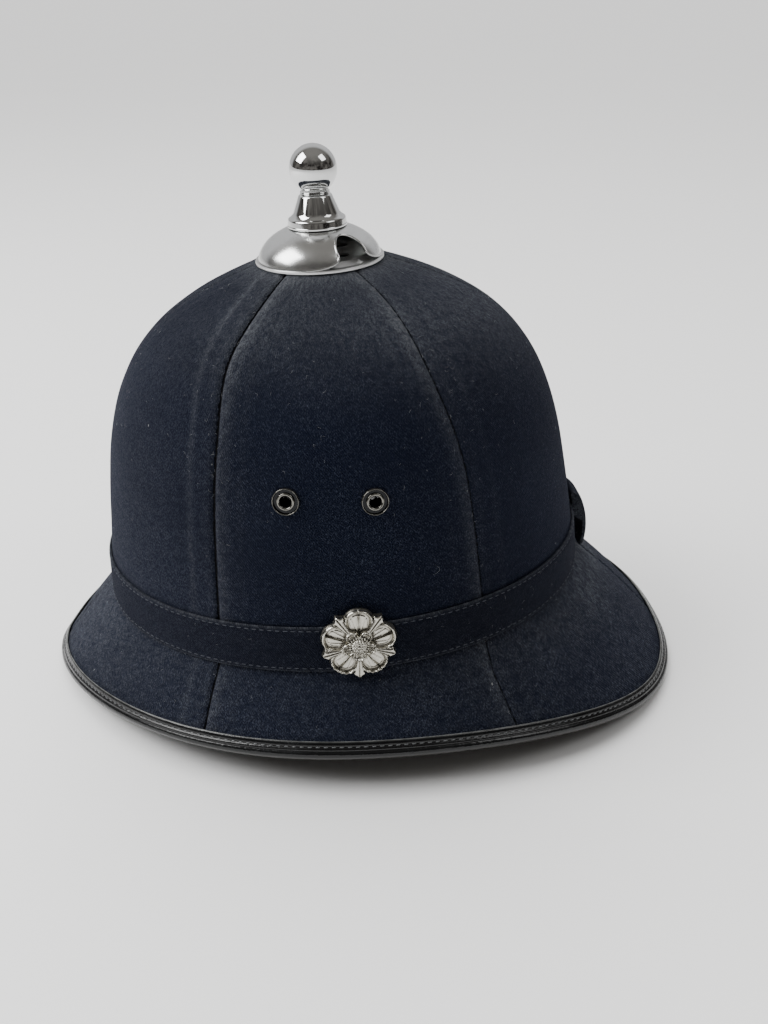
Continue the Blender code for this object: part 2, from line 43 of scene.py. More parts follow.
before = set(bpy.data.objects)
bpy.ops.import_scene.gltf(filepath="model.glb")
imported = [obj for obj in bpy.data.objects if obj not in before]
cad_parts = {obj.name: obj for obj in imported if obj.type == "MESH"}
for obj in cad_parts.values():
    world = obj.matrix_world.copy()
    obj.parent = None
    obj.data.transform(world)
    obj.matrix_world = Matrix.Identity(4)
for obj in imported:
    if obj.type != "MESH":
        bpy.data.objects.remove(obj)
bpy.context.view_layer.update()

# The form of the frame, from the same named sizes as its source
CROWN_HALF_LENGTH = 0.1146
CROWN_HALF_WIDTH = 0.0953
CROWN_HEIGHT = 0.1398
CROWN_SQUARENESS = 4.46
CROWN_CONE = 0.23
WALL_TAPER = 0.184
CROWN_LEAN = math.radians(2.8)
CROWN_BASE_HEIGHT = 0.0694
CROWN_SET_FORWARD = 0.0107
TIP_SET_FORWARD = 0.0012
CROWN_HOLE_RADIUS = 0.0220
BAND_DEPTH = 0.0212
BAND_FLARE = 0.0018
BAND_WALL = 0.0012
RIM_HALF_LENGTH = 0.1593
RIM_HALF_WIDTH = 0.1210
RIM_ARCH = 0.0171
FRONT_RIM = {"squareness": 1.74, "flat": 0.14, "arch_power": 1.1}
REAR_RIM = {"squareness": 2.34, "flat": 0.35, "arch_power": 2.0}
BRIM_SWEEP = math.radians(5.6)
BRIM_SWELL = 0.015
SHELL_WALL = 0.0025
COVER_WALL = 0.0010
FIT_GAP = 0.0003
EDGING_WALL = 0.0010
EDGING_LEG = 0.0044
EDGING_FOOT_TURN = math.radians(12)
EDGING_END_ROOM = 0.0005
PLATE_RADIUS = 0.0283
PLATE_EDGE_HEIGHT = 0.0015
DOME_RADIUS = 0.0273
DOME_RISE = 0.0164
COLLAR_RADIUS = 0.0130
COLLAR_HEIGHT = 0.0042
CONE_FOOT_RADIUS = 0.0101
CONE_TOP_RADIUS = 0.0071
CONE_HEIGHT = 0.0081
NECK_RADIUS = 0.0055
NECK_HEIGHT = 0.0015
BALL_RADIUS = 0.0102
POST_RADIUS = 0.0030
NOTCH_TURN = math.radians(34)
NOTCH_HALF_WIDTH = 0.0071
NOTCH_HEIGHT = 0.0130
NOTCH_FLARE_WIDTH = 0.0100
NOTCH_FLARE_HEIGHT = 0.0050
EYELET_RADIUS = 0.0054
EYELET_BORE_RADIUS = 0.0025
EYELET_TUBE_WALL = 0.0006
ROSETTE_RADIUS = 0.0167
ROSETTE_DEPTH = 0.0056
ROSETTE_STUD_RADIUS = 0.0015
ROSETTE_DROP_SHARE = 0.32
ROSETTE_TURN = math.radians(0.9)
KEEPER_WIDTH = 0.0150
KEEPER_WALL = 0.0020
KEEPER_BOW = 0.0057
KEEPER_REACH = 0.0090

WALL_TOTAL = COVER_WALL + FIT_GAP + SHELL_WALL
BAND_STAND = FIT_GAP + BAND_WALL
EDGING_ROLL = WALL_TOTAL / 2 + FIT_GAP + EDGING_WALL
STEP = 0.001

# Sizes that the dressed pieces add to the frame's own
SEAM_GAP = 0.00012
CLOTH_WAVE = 0.00018
CLOTH_THICKNESS = COVER_WALL * 0.6
LOOP_WIDTH = KEEPER_WIDTH * 1.2
FLANGE_RADIUS = EYELET_RADIUS + 0.0003
FLANGE_HALF = 0.00036
BORE_LIP = 0.0006
TUBE_TAIL = 0.0024
AIR_HOLE_RADIUS = 0.0035
AIR_HOLE_REACH = 0.0130
DOME_WALL = 0.001
# Near-black colour of the painted shade along the seams
SEAM_SHADE_COLOUR = (0.0012, 0.0014, 0.0020)

EYELETS = (
    {"name": "front", "angle": math.radians(-12.6), "height": 0.400},
    {"name": "rear", "angle": math.radians(6.9), "height": 0.384},
)
PANELS = (
    ("left", 0),
    ("rear_left", 60),
    ("rear_right", 120),
    ("right", 180),
    ("front_right", 240),
    ("front_left", 300),
)

CROWN_FRAME = (
    Matrix.Translation((0, -CROWN_SET_FORWARD, CROWN_BASE_HEIGHT))
    @ Matrix.Rotation(CROWN_LEAN, 4, "X")
)
CROWN_TURNED = np.array(CROWN_FRAME.to_3x3())
CROWN_MOVED = np.array(CROWN_FRAME.translation)


class HelmetCloth(PropertyGroup):
    """Sizes and colours of the cloth, the band and the hard body under them."""

    cloth_colour: FloatVectorProperty(
        name="Cloth colour", description="Navy of the wool serge", subtype="COLOR", size=3,
        min=0, max=1, default=(0.0016, 0.0030, 0.0100),
    )
    nap_colour: FloatVectorProperty(
        name="Nap colour", description="Paler fibre ends that stand up from the weave",
        subtype="COLOR", size=3, min=0, max=1, default=(0.036, 0.043, 0.065),
    )
    # Pale colour for dust and wear, also used for painted light on the panels' upper and front faces
    dust_and_light_colour: FloatVectorProperty(
        name="Dust colour", description="Dust and wear along seams and edges", subtype="COLOR",
        size=3, min=0, max=1, default=(0.150, 0.158, 0.170),
    )
    lint_colour: FloatVectorProperty(
        name="Lint colour", description="Small specks of lint", subtype="COLOR", size=3,
        min=0, max=1, default=(0.30, 0.31, 0.31),
    )
    body_colour: FloatVectorProperty(
        name="Body colour", description="Black of the moulded body inside", subtype="COLOR",
        size=3, min=0, max=1, default=(0.010, 0.010, 0.011),
    )
    rib_spacing: FloatProperty(
        name="Rib spacing", description="Distance between two diagonal ribs of the serge",
        default=0.00085, min=0.0003, max=0.003, unit="LENGTH", precision=5,
    )
    seam_depth: FloatProperty(
        name="Seam depth", description="How far the cloth turns in at a seam",
        default=0.0011, min=0, max=0.002, unit="LENGTH", precision=5,
    )
    seam_width: FloatProperty(
        name="Seam width", description="How far from a seam the cloth starts to turn in",
        default=0.0012, min=0.0002, max=0.005, unit="LENGTH", precision=5,
    )
    allowance_width: FloatProperty(
        name="Allowance width", description="Width of the turned cloth under a seam",
        default=0.0112, min=0.002, max=0.02, unit="LENGTH", precision=4,
    )
    allowance_rise: FloatProperty(
        name="Allowance rise", description="How far the turned cloth lifts the cover",
        default=0.0004, min=0, max=0.002, unit="LENGTH", precision=5,
    )
    stitch_pitch: FloatProperty(
        name="Band stitch pitch", description="Length of one stitch and its gap on the band",
        default=0.0034, min=0.001, max=0.01, unit="LENGTH", precision=4,
    )
    stitch_inset: FloatProperty(
        name="Band stitch inset", description="Distance of the stitches from the band's edges",
        default=0.0016, min=0.0005, max=0.005, unit="LENGTH", precision=4,
    )
    thread_radius: FloatProperty(
        name="Thread radius", description="Half the thickness of the sewing thread",
        default=0.00022, min=0.0001, max=0.001, unit="LENGTH", precision=5,
    )
    # Scales both the real dust along the seams and the painted light on the upper and front faces
    dust_and_light_amount: FloatProperty(
        name="Dust amount", description="How much pale dust lies along seams and on upper faces",
        default=0.66, min=0, max=2,
    )
    lint_count: IntProperty(
        name="Lint count", description="Number of loose fibres on the cloth", default=650, min=1, max=6000,
    )
    lint_length: FloatProperty(
        name="Lint length", description="Length of the longest scattered fibre",
        default=0.0021, min=0.0005, max=0.01, unit="LENGTH", precision=4,
    )
    lint_radius: FloatProperty(
        name="Lint radius", description="Half the thickness of a loose fibre",
        default=0.000034, min=0.00001, max=0.0005, unit="LENGTH", precision=6,
    )
    columns: IntProperty(
        name="Panel columns", description="Divisions of one cloth panel across its width",
        default=72, min=24, max=120,
    )


class HelmetLeather(PropertyGroup):
    """Sizes and colours of the edging round the rim."""

    leather_colour: FloatVectorProperty(
        name="Leather colour", description="Black of the patent leather", subtype="COLOR",
        size=3, min=0, max=1, default=(0.0030, 0.0032, 0.0036),
    )
    # Colour of the pale line along the top edge of the leather
    top_edge_colour: FloatVectorProperty(
        name="Cut edge colour", description="Paler raw edge along the top of the leather",
        subtype="COLOR", size=3, min=0, max=1, default=(0.16, 0.165, 0.16),
    )
    stitch_pitch: FloatProperty(
        name="Edging stitch pitch", description="Length of one stitch and its gap on the edging",
        default=0.0034, min=0.001, max=0.01, unit="LENGTH", precision=4,
    )
    thread_radius: FloatProperty(
        name="Edging thread radius", description="Half the thickness of the waxed thread",
        default=0.00030, min=0.0001, max=0.001, unit="LENGTH", precision=5,
    )
    groove_depth: FloatProperty(
        name="Groove depth", description="How far the stitches pull the leather in",
        default=0.00035, min=0, max=0.001, unit="LENGTH", precision=5,
    )


class HelmetMetal(PropertyGroup):
    """Colours and sizes of the mount, the roses and the eyelets."""

    chrome_colour: FloatVectorProperty(
        name="Chrome colour", description="Bright plating of the mount", subtype="COLOR",
        size=3, min=0, max=1, default=(0.64, 0.645, 0.64),
    )
    rose_colour: FloatVectorProperty(
        name="Rose colour", description="Slightly warm plating of the roses", subtype="COLOR",
        size=3, min=0, max=1, default=(0.46, 0.445, 0.395),
    )
    recess_colour: FloatVectorProperty(
        name="Recess colour", description="Dark tarnish in the roses' hollows",
        subtype="COLOR", size=3, min=0, max=1, default=(0.11, 0.10, 0.08),
    )
    enamel_colour: FloatVectorProperty(
        name="Enamel colour", description="Black finish of the eyelets", subtype="COLOR",
        size=3, min=0, max=1, default=(0.011, 0.0115, 0.0125),
    )
    tube_colour: FloatVectorProperty(
        name="Tube colour", description="Worn metal in the eyelets' tubes", subtype="COLOR",
        size=3, min=0, max=1, default=(0.20, 0.195, 0.175),
    )
    lip_radius: FloatProperty(
        name="Notch lip radius", description="Half the thickness of the rolled lip on a notch",
        default=0.00050, min=0.0002, max=0.002, unit="LENGTH", precision=5,
    )


class HelmetStage(PropertyGroup):
    """The floor and the studio light."""

    floor_colour: FloatVectorProperty(
        name="Floor colour", description="Plain pale floor", subtype="COLOR", size=3,
        min=0, max=1, default=(0.90, 0.90, 0.90),
    )
    world_strength: FloatProperty(
        name="Room light", description="Strength of the even light from the room",
        default=1.1, min=0, max=5,
    )
    overhead_strength: FloatProperty(
        name="Overhead light", description="Strength of the even light from overhead",
        default=3.7, min=0, max=10,
    )
    key_power: FloatProperty(
        name="Key light", description="Power of the large soft light at the front left",
        default=34.0, min=0, max=200, unit="POWER",
    )


# Curves of the crown, the band and the brim, for whole arrays of angles at once

def crown_ring(turn):
    """Radius share and height of the crown at a turn of 0 at the band and 90 degrees at the tip."""
    share = np.clip(np.cos(turn), 0, 1) ** (2 / CROWN_SQUARENESS)
    dome = np.clip(np.sin(turn), 0, 1) ** (2 / CROWN_SQUARENESS)
    height = CROWN_HEIGHT * ((1 - CROWN_CONE) * dome + CROWN_CONE * (1 - share))
    return share, share * (1 - WALL_TAPER * height / CROWN_HEIGHT), height


FINE_TURNS = np.linspace(0, math.pi / 2, 40001)
FINE_SHARES, FINE_REACHES, FINE_HEIGHTS = crown_ring(FINE_TURNS)
HOLE_TURN = float(np.interp(-CROWN_HOLE_RADIUS, -CROWN_HALF_LENGTH * FINE_REACHES, FINE_TURNS))
MOUNT_TURN = float(np.interp(-PLATE_RADIUS, -CROWN_HALF_LENGTH * FINE_REACHES, FINE_TURNS))
MOUNT_SHARE = float(np.interp(MOUNT_TURN, FINE_TURNS, FINE_SHARES))
MOUNT_HEIGHT = float(np.interp(MOUNT_TURN, FINE_TURNS, FINE_HEIGHTS))
HOLE_HEIGHT = float(np.interp(HOLE_TURN, FINE_TURNS, FINE_HEIGHTS))
MOUNT_FRAME = CROWN_FRAME @ Matrix.Translation((0, -TIP_SET_FORWARD, MOUNT_HEIGHT))


def crown_place(x, y, z):
    return np.stack([x, y, z], axis=-1) @ CROWN_TURNED.T + CROWN_MOVED


def crown_point(angle, turn):
    share, reach, height = crown_ring(turn)
    rise = np.minimum(1.0, (1 - share) / (1 - MOUNT_SHARE))
    half_width = CROWN_HALF_WIDTH + (CROWN_HALF_LENGTH - CROWN_HALF_WIDTH) * rise ** 2
    x = half_width * reach * np.cos(angle)
    y = CROWN_HALF_LENGTH * reach * np.sin(angle) - TIP_SET_FORWARD * rise
    return crown_place(x, y, height)


def band_point(angle, share):
    x = (CROWN_HALF_WIDTH + BAND_FLARE * share) * np.cos(angle)
    y = (CROWN_HALF_LENGTH + BAND_FLARE * share) * np.sin(angle)
    return crown_place(x, y, -BAND_DEPTH * share + 0 * angle)


def signed_power(value, power):
    return np.sign(value) * np.abs(value) ** power


def rim_value(key, turn):
    return FRONT_RIM[key] + (REAR_RIM[key] - FRONT_RIM[key]) * (1 + np.sin(turn)) / 2


def rim_turn(angle):
    return angle - BRIM_SWEEP * np.cos(angle) * (1 + np.sin(angle)) ** 2


def rim_lift(angle):
    turn = rim_turn(angle)
    flat = rim_value("flat", turn)
    side = np.maximum(0.0, (np.abs(np.cos(turn)) - flat) / (1 - flat))
    return RIM_ARCH * side ** rim_value("arch_power", turn)


def rim_centre(angle):
    turn = rim_turn(angle)
    power = 2 / rim_value("squareness", turn)
    x = (RIM_HALF_WIDTH - EDGING_ROLL) * signed_power(np.cos(turn), power)
    y = (RIM_HALF_LENGTH - EDGING_ROLL) * signed_power(np.sin(turn), power)
    z = EDGING_ROLL * math.cos(EDGING_FOOT_TURN) + rim_lift(angle)
    return np.stack([x, y, z], axis=-1)


def unit(vectors):
    return vectors / np.linalg.norm(vectors, axis=-1, keepdims=True)


def rim_frame(angle):
    """The roll's centre and the directions up the brim and out of it."""
    centre = rim_centre(angle)
    along = unit(rim_centre(angle + STEP) - rim_centre(angle - STEP))
    slope = band_point(angle, np.ones_like(angle)) - centre
    out = unit(np.cross(along, slope))
    return centre, unit(np.cross(out, along)), out


def brim_point(angle, share):
    top = band_point(angle, np.ones_like(angle))
    centre, up, out = rim_frame(angle)
    bottom = centre + out * (WALL_TOTAL / 2) + up * EDGING_END_ROOM
    length = np.linalg.norm(bottom - top, axis=-1)
    swell = BRIM_SWELL * length * np.sin(math.pi * share) ** 2
    return top + (bottom - top) * share[..., None] + out * swell[..., None]


def cloth_point(angle, travel):
    """The cloth's outer face: travel runs 0 to 1 on the crown, to 2 under the band, to 3 on the brim."""
    angle, travel = np.broadcast_arrays(np.asarray(angle, float), np.clip(travel, 0, 3))
    crown = crown_point(angle, HOLE_TURN * (1 - np.minimum(travel, 1)))
    band = band_point(angle, np.clip(travel - 1, 0, 1))
    brim = brim_point(angle, np.clip(travel - 2, 0, 1))
    place = travel[..., None]
    return np.where(place <= 1, crown, np.where(place <= 2, band, brim))


def cloth_normal(angle, travel):
    here = cloth_point(angle, travel)
    around = cloth_point(angle + STEP, travel) - cloth_point(angle - STEP, travel)
    before = here - cloth_point(angle, travel - STEP)
    after = cloth_point(angle, travel + STEP) - here
    lengths = [np.maximum(np.linalg.norm(part, axis=-1, keepdims=True), 1e-12) for part in (before, after)]
    return unit(np.cross(before / lengths[0] + after / lengths[1], around))


def travel_at_height(height):
    return 1 - float(np.interp(height, FINE_HEIGHTS, FINE_TURNS)) / HOLE_TURN


def running_length(points):
    """Distance along a line of points, from 0 at its first."""
    return np.concatenate([[0], np.cumsum(np.linalg.norm(np.diff(points, axis=0), axis=1))])


def even_travels(crown_rows, band_rows, brim_rows):
    """Rows from the hole to the rim, spaced evenly along the cloth."""
    fine = np.linspace(0, 1, 4001)
    line = cloth_point(np.full_like(fine, math.pi / 2), fine)
    lengths = running_length(line)
    crown = np.interp(np.linspace(0, lengths[-1], crown_rows + 1), lengths, fine)
    band = 1 + np.arange(1, band_rows + 1) / band_rows
    brim = 2 + np.arange(1, brim_rows + 1) / brim_rows
    return np.concatenate([crown, band, brim])


def seam_angle(angle, travel):
    """Moves even divisions to where the seams run: wider at the top, then a little to the front."""
    lean = 2.7 * np.exp(-((travel - 0.38) / 0.28) ** 2)
    spread = 3.6 * np.exp(-travel / 0.12) - 1.0 * np.exp(-((travel - 0.6) / 0.2) ** 2)
    front = 2 * np.clip(-np.sin(angle), 0, 0.5)
    spread += 1.8 * front * np.exp(-travel / 0.10)
    low = 5.7 * np.clip((travel - 2.35) / 0.65, 0, 1) * np.clip(np.sin(angle), 0, 1)
    low += np.where(travel > 1.5, front * (0.9 - 1.4 * np.clip(travel - 2, 0, 1)), 0)
    return angle + np.radians((spread + low) * np.sin(2 * angle) - lean * np.cos(angle))


def unevenness(points, size):
    """A slow swelling of a few tenths of a millimetre, as cloth drawn over a form has."""
    x, y, z = points[..., 0], points[..., 1], points[..., 2]
    first = np.sin(2 * math.pi * (x * 11 + z * 7.3 + 0.4)) * np.sin(2 * math.pi * (y * 9.1 - z * 5.2))
    second = np.sin(2 * math.pi * (y * 23 + z * 19 + 0.2)) * np.sin(2 * math.pi * (x * 27 - z * 13))
    return size * (0.7 * first + 0.3 * second)


def facing_matrix(point, normal):
    """Local Z along the normal and local Y as near to straight up as it can be."""
    z_axis = Vector(normal).normalized()
    x_axis = Vector((0, 0, 1)).cross(z_axis).normalized()
    turn = Matrix((x_axis, z_axis.cross(x_axis), z_axis)).transposed().to_4x4()
    return Matrix.Translation(Vector(point)) @ turn


# Making and finishing pieces

def linked(name, data):
    """A new object of the scene round its data."""
    made = bpy.data.objects.new(name, data)
    bpy.context.scene.collection.objects.link(made)
    return made


def only(piece):
    """Selects one object alone and makes it the active one."""
    if bpy.context.object and bpy.context.object.mode != "OBJECT":
        bpy.ops.object.mode_set(mode="OBJECT")
    bpy.ops.object.select_all(action="DESELECT")
    piece.select_set(True)
    bpy.context.view_layer.objects.active = piece


def grid_object(name, points, weave=None, closed=False):
    """A quad sheet through rows of points, with its weave laid in metres on a UV map."""
    rows, columns = points.shape[:2]
    index = np.arange(rows * columns).reshape(rows, columns)
    if closed:
        index = np.concatenate([index, index[:, :1]], axis=1)
    corners = [index[:-1, :-1], index[1:, :-1], index[1:, 1:], index[:-1, 1:]]
    faces = np.stack(corners, axis=-1).reshape(-1, 4)
    mesh = bpy.data.meshes.new(name)
    mesh.from_pydata(points.reshape(-1, 3).tolist(), [], faces.tolist())
    piece = linked(name, mesh)
    if weave is not None:
        layer = mesh.uv_layers.new(name="weave")
        if closed:
            spread = 2 * weave[:, -1:] - weave[:, -2:-1]
            weave = np.concatenate([weave, spread], axis=1)
        laid = [weave[:-1, :-1], weave[1:, :-1], weave[1:, 1:], weave[:-1, 1:]]
        layer.data.foreach_set("uv", np.stack(laid, axis=2).reshape(-1).astype(np.float32))
    return piece


def set_attribute(piece, name, values):
    attribute = piece.data.attributes.new(name, "FLOAT", "POINT")
    attribute.data.foreach_set("value", np.asarray(values, np.float32).reshape(-1))


def apply_modifier(piece, kind, **settings):
    only(piece)
    modifier = piece.modifiers.new(kind.title(), kind)
    for key, value in settings.items():
        setattr(modifier, key, value)
    bpy.ops.object.modifier_apply(modifier=modifier.name)


def outward(piece, distance=1e-6):
    """Merges doubles and turns every face outward."""
    bm = bmesh.new()
    bm.from_mesh(piece.data)
    bmesh.ops.remove_doubles(bm, verts=bm.verts, dist=distance)
    bmesh.ops.recalc_face_normals(bm, faces=bm.faces)
    if bm.calc_volume(signed=True) < 0:
        bmesh.ops.reverse_faces(bm, faces=bm.faces)
    bm.to_mesh(piece.data)
    bm.free()


def bake_place(piece, matrix):
    """Puts a piece's place into its mesh and leaves its object at the origin."""
    piece.data.transform(matrix)
    piece.matrix_world = Matrix.Identity(4)


def finish_piece(piece, slot, material, *nodes, angle=40):
    piece.data.materials.clear()
    piece.data.materials.append(material)
    only(piece)
    bpy.ops.object.shade_smooth_by_angle(angle=math.radians(angle))
    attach(piece, "root")
    if nodes:
        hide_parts(*nodes)
    return piece


def turned(name, profile, steps, closed=False):
    """A ring primitive extruded edge by edge along a profile of radii and heights."""
    rings = [(max(radius, 1e-5), height) for radius, height in profile]
    if closed:
        rings.append(rings[0])
    bpy.ops.object.select_all(action="DESELECT")
    bpy.ops.mesh.primitive_circle_add(
        vertices=steps, radius=rings[0][0], fill_type="NOTHING", location=(0, 0, 0)
    )
    piece = bpy.context.object
    piece.name = piece.data.name = name
    bpy.ops.object.mode_set(mode="EDIT")
    bpy.ops.mesh.select_all(action="SELECT")
    bpy.ops.transform.translate(value=(0, 0, rings[0][1]))
    for (radius, height), (wider, higher) in zip(rings, rings[1:]):
        bpy.ops.mesh.extrude_edges_move(TRANSFORM_OT_translate={"value": (0, 0, higher - height)})
        ratio = wider / radius
        bpy.ops.transform.resize(value=(ratio, ratio, 1), center_override=(0, 0, higher))
    bpy.ops.mesh.select_all(action="SELECT")
    bpy.ops.mesh.remove_doubles(threshold=2.5e-5)
    bpy.ops.mesh.normals_make_consistent(inside=False)
    bpy.ops.object.mode_set(mode="OBJECT")
    return piece


def rounded(points, radius, steps=4):
    """A profile whose inner corners are replaced by short arcs."""
    path = [points[0]]
    for before, corner, after in zip(points, points[1:], points[2:]):
        first = Vector(before) - Vector(corner)
        second = Vector(after) - Vector(corner)
        reach = min(radius, first.length * 0.45, second.length * 0.45)
        start = Vector(corner) + first.normalized() * reach
        end = Vector(corner) + second.normalized() * reach
        for count in range(steps + 1):
            share = count / steps
            point = start * (1 - share) ** 2 + Vector(corner) * 2 * share * (1 - share) + end * share ** 2
            path.append(tuple(point))
    path.append(points[-1])
    return path


def cutter_rod(radius, length, matrix, sides=32):
    bpy.ops.object.select_all(action="DESELECT")
    bpy.ops.mesh.primitive_cylinder_add(vertices=sides, radius=radius, depth=length)
    rod = bpy.context.object
    bake_place(rod, matrix)
    return rod


def cut(piece, *cutters):
    for cutter in cutters:
        apply_modifier(piece, "BOOLEAN", operation="DIFFERENCE", solver="EXACT", object=cutter)
    outward(piece, 4e-6)


def drop(*pieces):
    for piece in pieces:
        bpy.data.objects.remove(piece, do_unlink=True)


def stitch_row(name, starts, directions, normals, length, radius):
    """A row of short thread ends, copied from one small shaped ball."""
    bpy.ops.object.select_all(action="DESELECT")
    bpy.ops.mesh.primitive_uv_sphere_add(segments=6, ring_count=5, radius=1)
    stitch = bpy.context.object
    base = np.array([vert.co[:] for vert in stitch.data.vertices])
    faces = [tuple(face.vertices) for face in stitch.data.polygons]
    drop(stitch)
    ends = np.sign(base[:, 2:]) * np.abs(base[:, 2:]) ** 0.6
    base = np.concatenate([base[:, :2], ends], axis=1) * (radius, radius, length / 2)
    sideways = np.cross(normals, directions)
    axes = np.stack([sideways, normals, directions], axis=1)
    points = np.einsum("vk,nkc->nvc", base, axes) + starts[:, None, :]
    count = len(base)
    mesh = bpy.data.meshes.new(name)
    every = [tuple(corner + count * row for corner in face) for row in range(len(starts)) for face in faces]
    mesh.from_pydata(points.reshape(-1, 3).tolist(), [], every)
    piece = linked(name, mesh)
    outward(piece, 1e-7)
    return piece


def even_stations(place, pitch):
    """Evenly spaced angles round a closed line, with the points and directions there."""
    fine = np.linspace(0, 2 * math.pi, 7201)
    line = place(fine)
    lengths = running_length(line)
    count = int(round(lengths[-1] / pitch))
    angles = np.interp((np.arange(count) + 0.5) * lengths[-1] / count, lengths, fine)
    return angles, place(angles), unit(place(angles + STEP) - place(angles - STEP))


# Materials

def scaled(colour, factor):
    return tuple(value * factor for value in colour)


def new_material(name):
    material = bpy.data.materials.new(name)
    material.use_nodes = True
    return material, material.node_tree, material.node_tree.nodes["Principled BSDF"]


def add_node(tree, kind, inputs=None, **settings):
    """A node whose inputs take either a value or another node's output."""
    made = tree.nodes.new(kind)
    for key, value in settings.items():
        setattr(made, key, value)
    for key, value in (inputs or {}).items():
        if isinstance(value, bpy.types.NodeSocket):
            tree.links.new(value, made.inputs[key])
        else:
            made.inputs[key].default_value = value
    return made


def object_place(tree, scale=(1, 1, 1), turn=(0, 0, 0), source="Object"):
    coordinates = add_node(tree, "ShaderNodeTexCoord")
    inputs = {"Vector": coordinates.outputs[source], "Scale": scale, "Rotation": turn}
    return add_node(tree, "ShaderNodeMapping", inputs).outputs["Vector"]


def noise(tree, place, scale, detail=3.0, roughness=0.5, distortion=0.0):
    inputs = {"Vector": place, "Scale": scale, "Detail": detail, "Roughness": roughness,
              "Distortion": distortion}
    return add_node(tree, "ShaderNodeTexNoise", inputs).outputs["Fac"]


def ranged(tree, value, low, high, start=0.0, end=1.0):
    inputs = {"Value": value, "From Min": low, "From Max": high, "To Min": start, "To Max": end}
    return add_node(tree, "ShaderNodeMapRange", inputs).outputs["Result"]


def combined(tree, operation, first, second):
    made = add_node(tree, "ShaderNodeMath", {0: first, 1: second}, operation=operation)
    return made.outputs["Value"]


def mixed(tree, factor, first, second, blend="MIX"):
    ready = [item if isinstance(item, bpy.types.NodeSocket) else (*item, 1.0) for item in (first, second)]
    made = add_node(tree, "ShaderNodeMix", {0: factor, 6: ready[0], 7: ready[1]},
                    data_type="RGBA", blend_type=blend)
    return made.outputs[2]


def attribute(tree, name):
    return add_node(tree, "ShaderNodeAttribute", attribute_name=name).outputs["Fac"]


def bump(tree, shader, height, distance, strength=1.0):
    made = add_node(tree, "ShaderNodeBump",
                    {"Height": height, "Distance": distance, "Strength": strength})
    tree.links.new(made.outputs["Normal"], shader.inputs["Normal"])


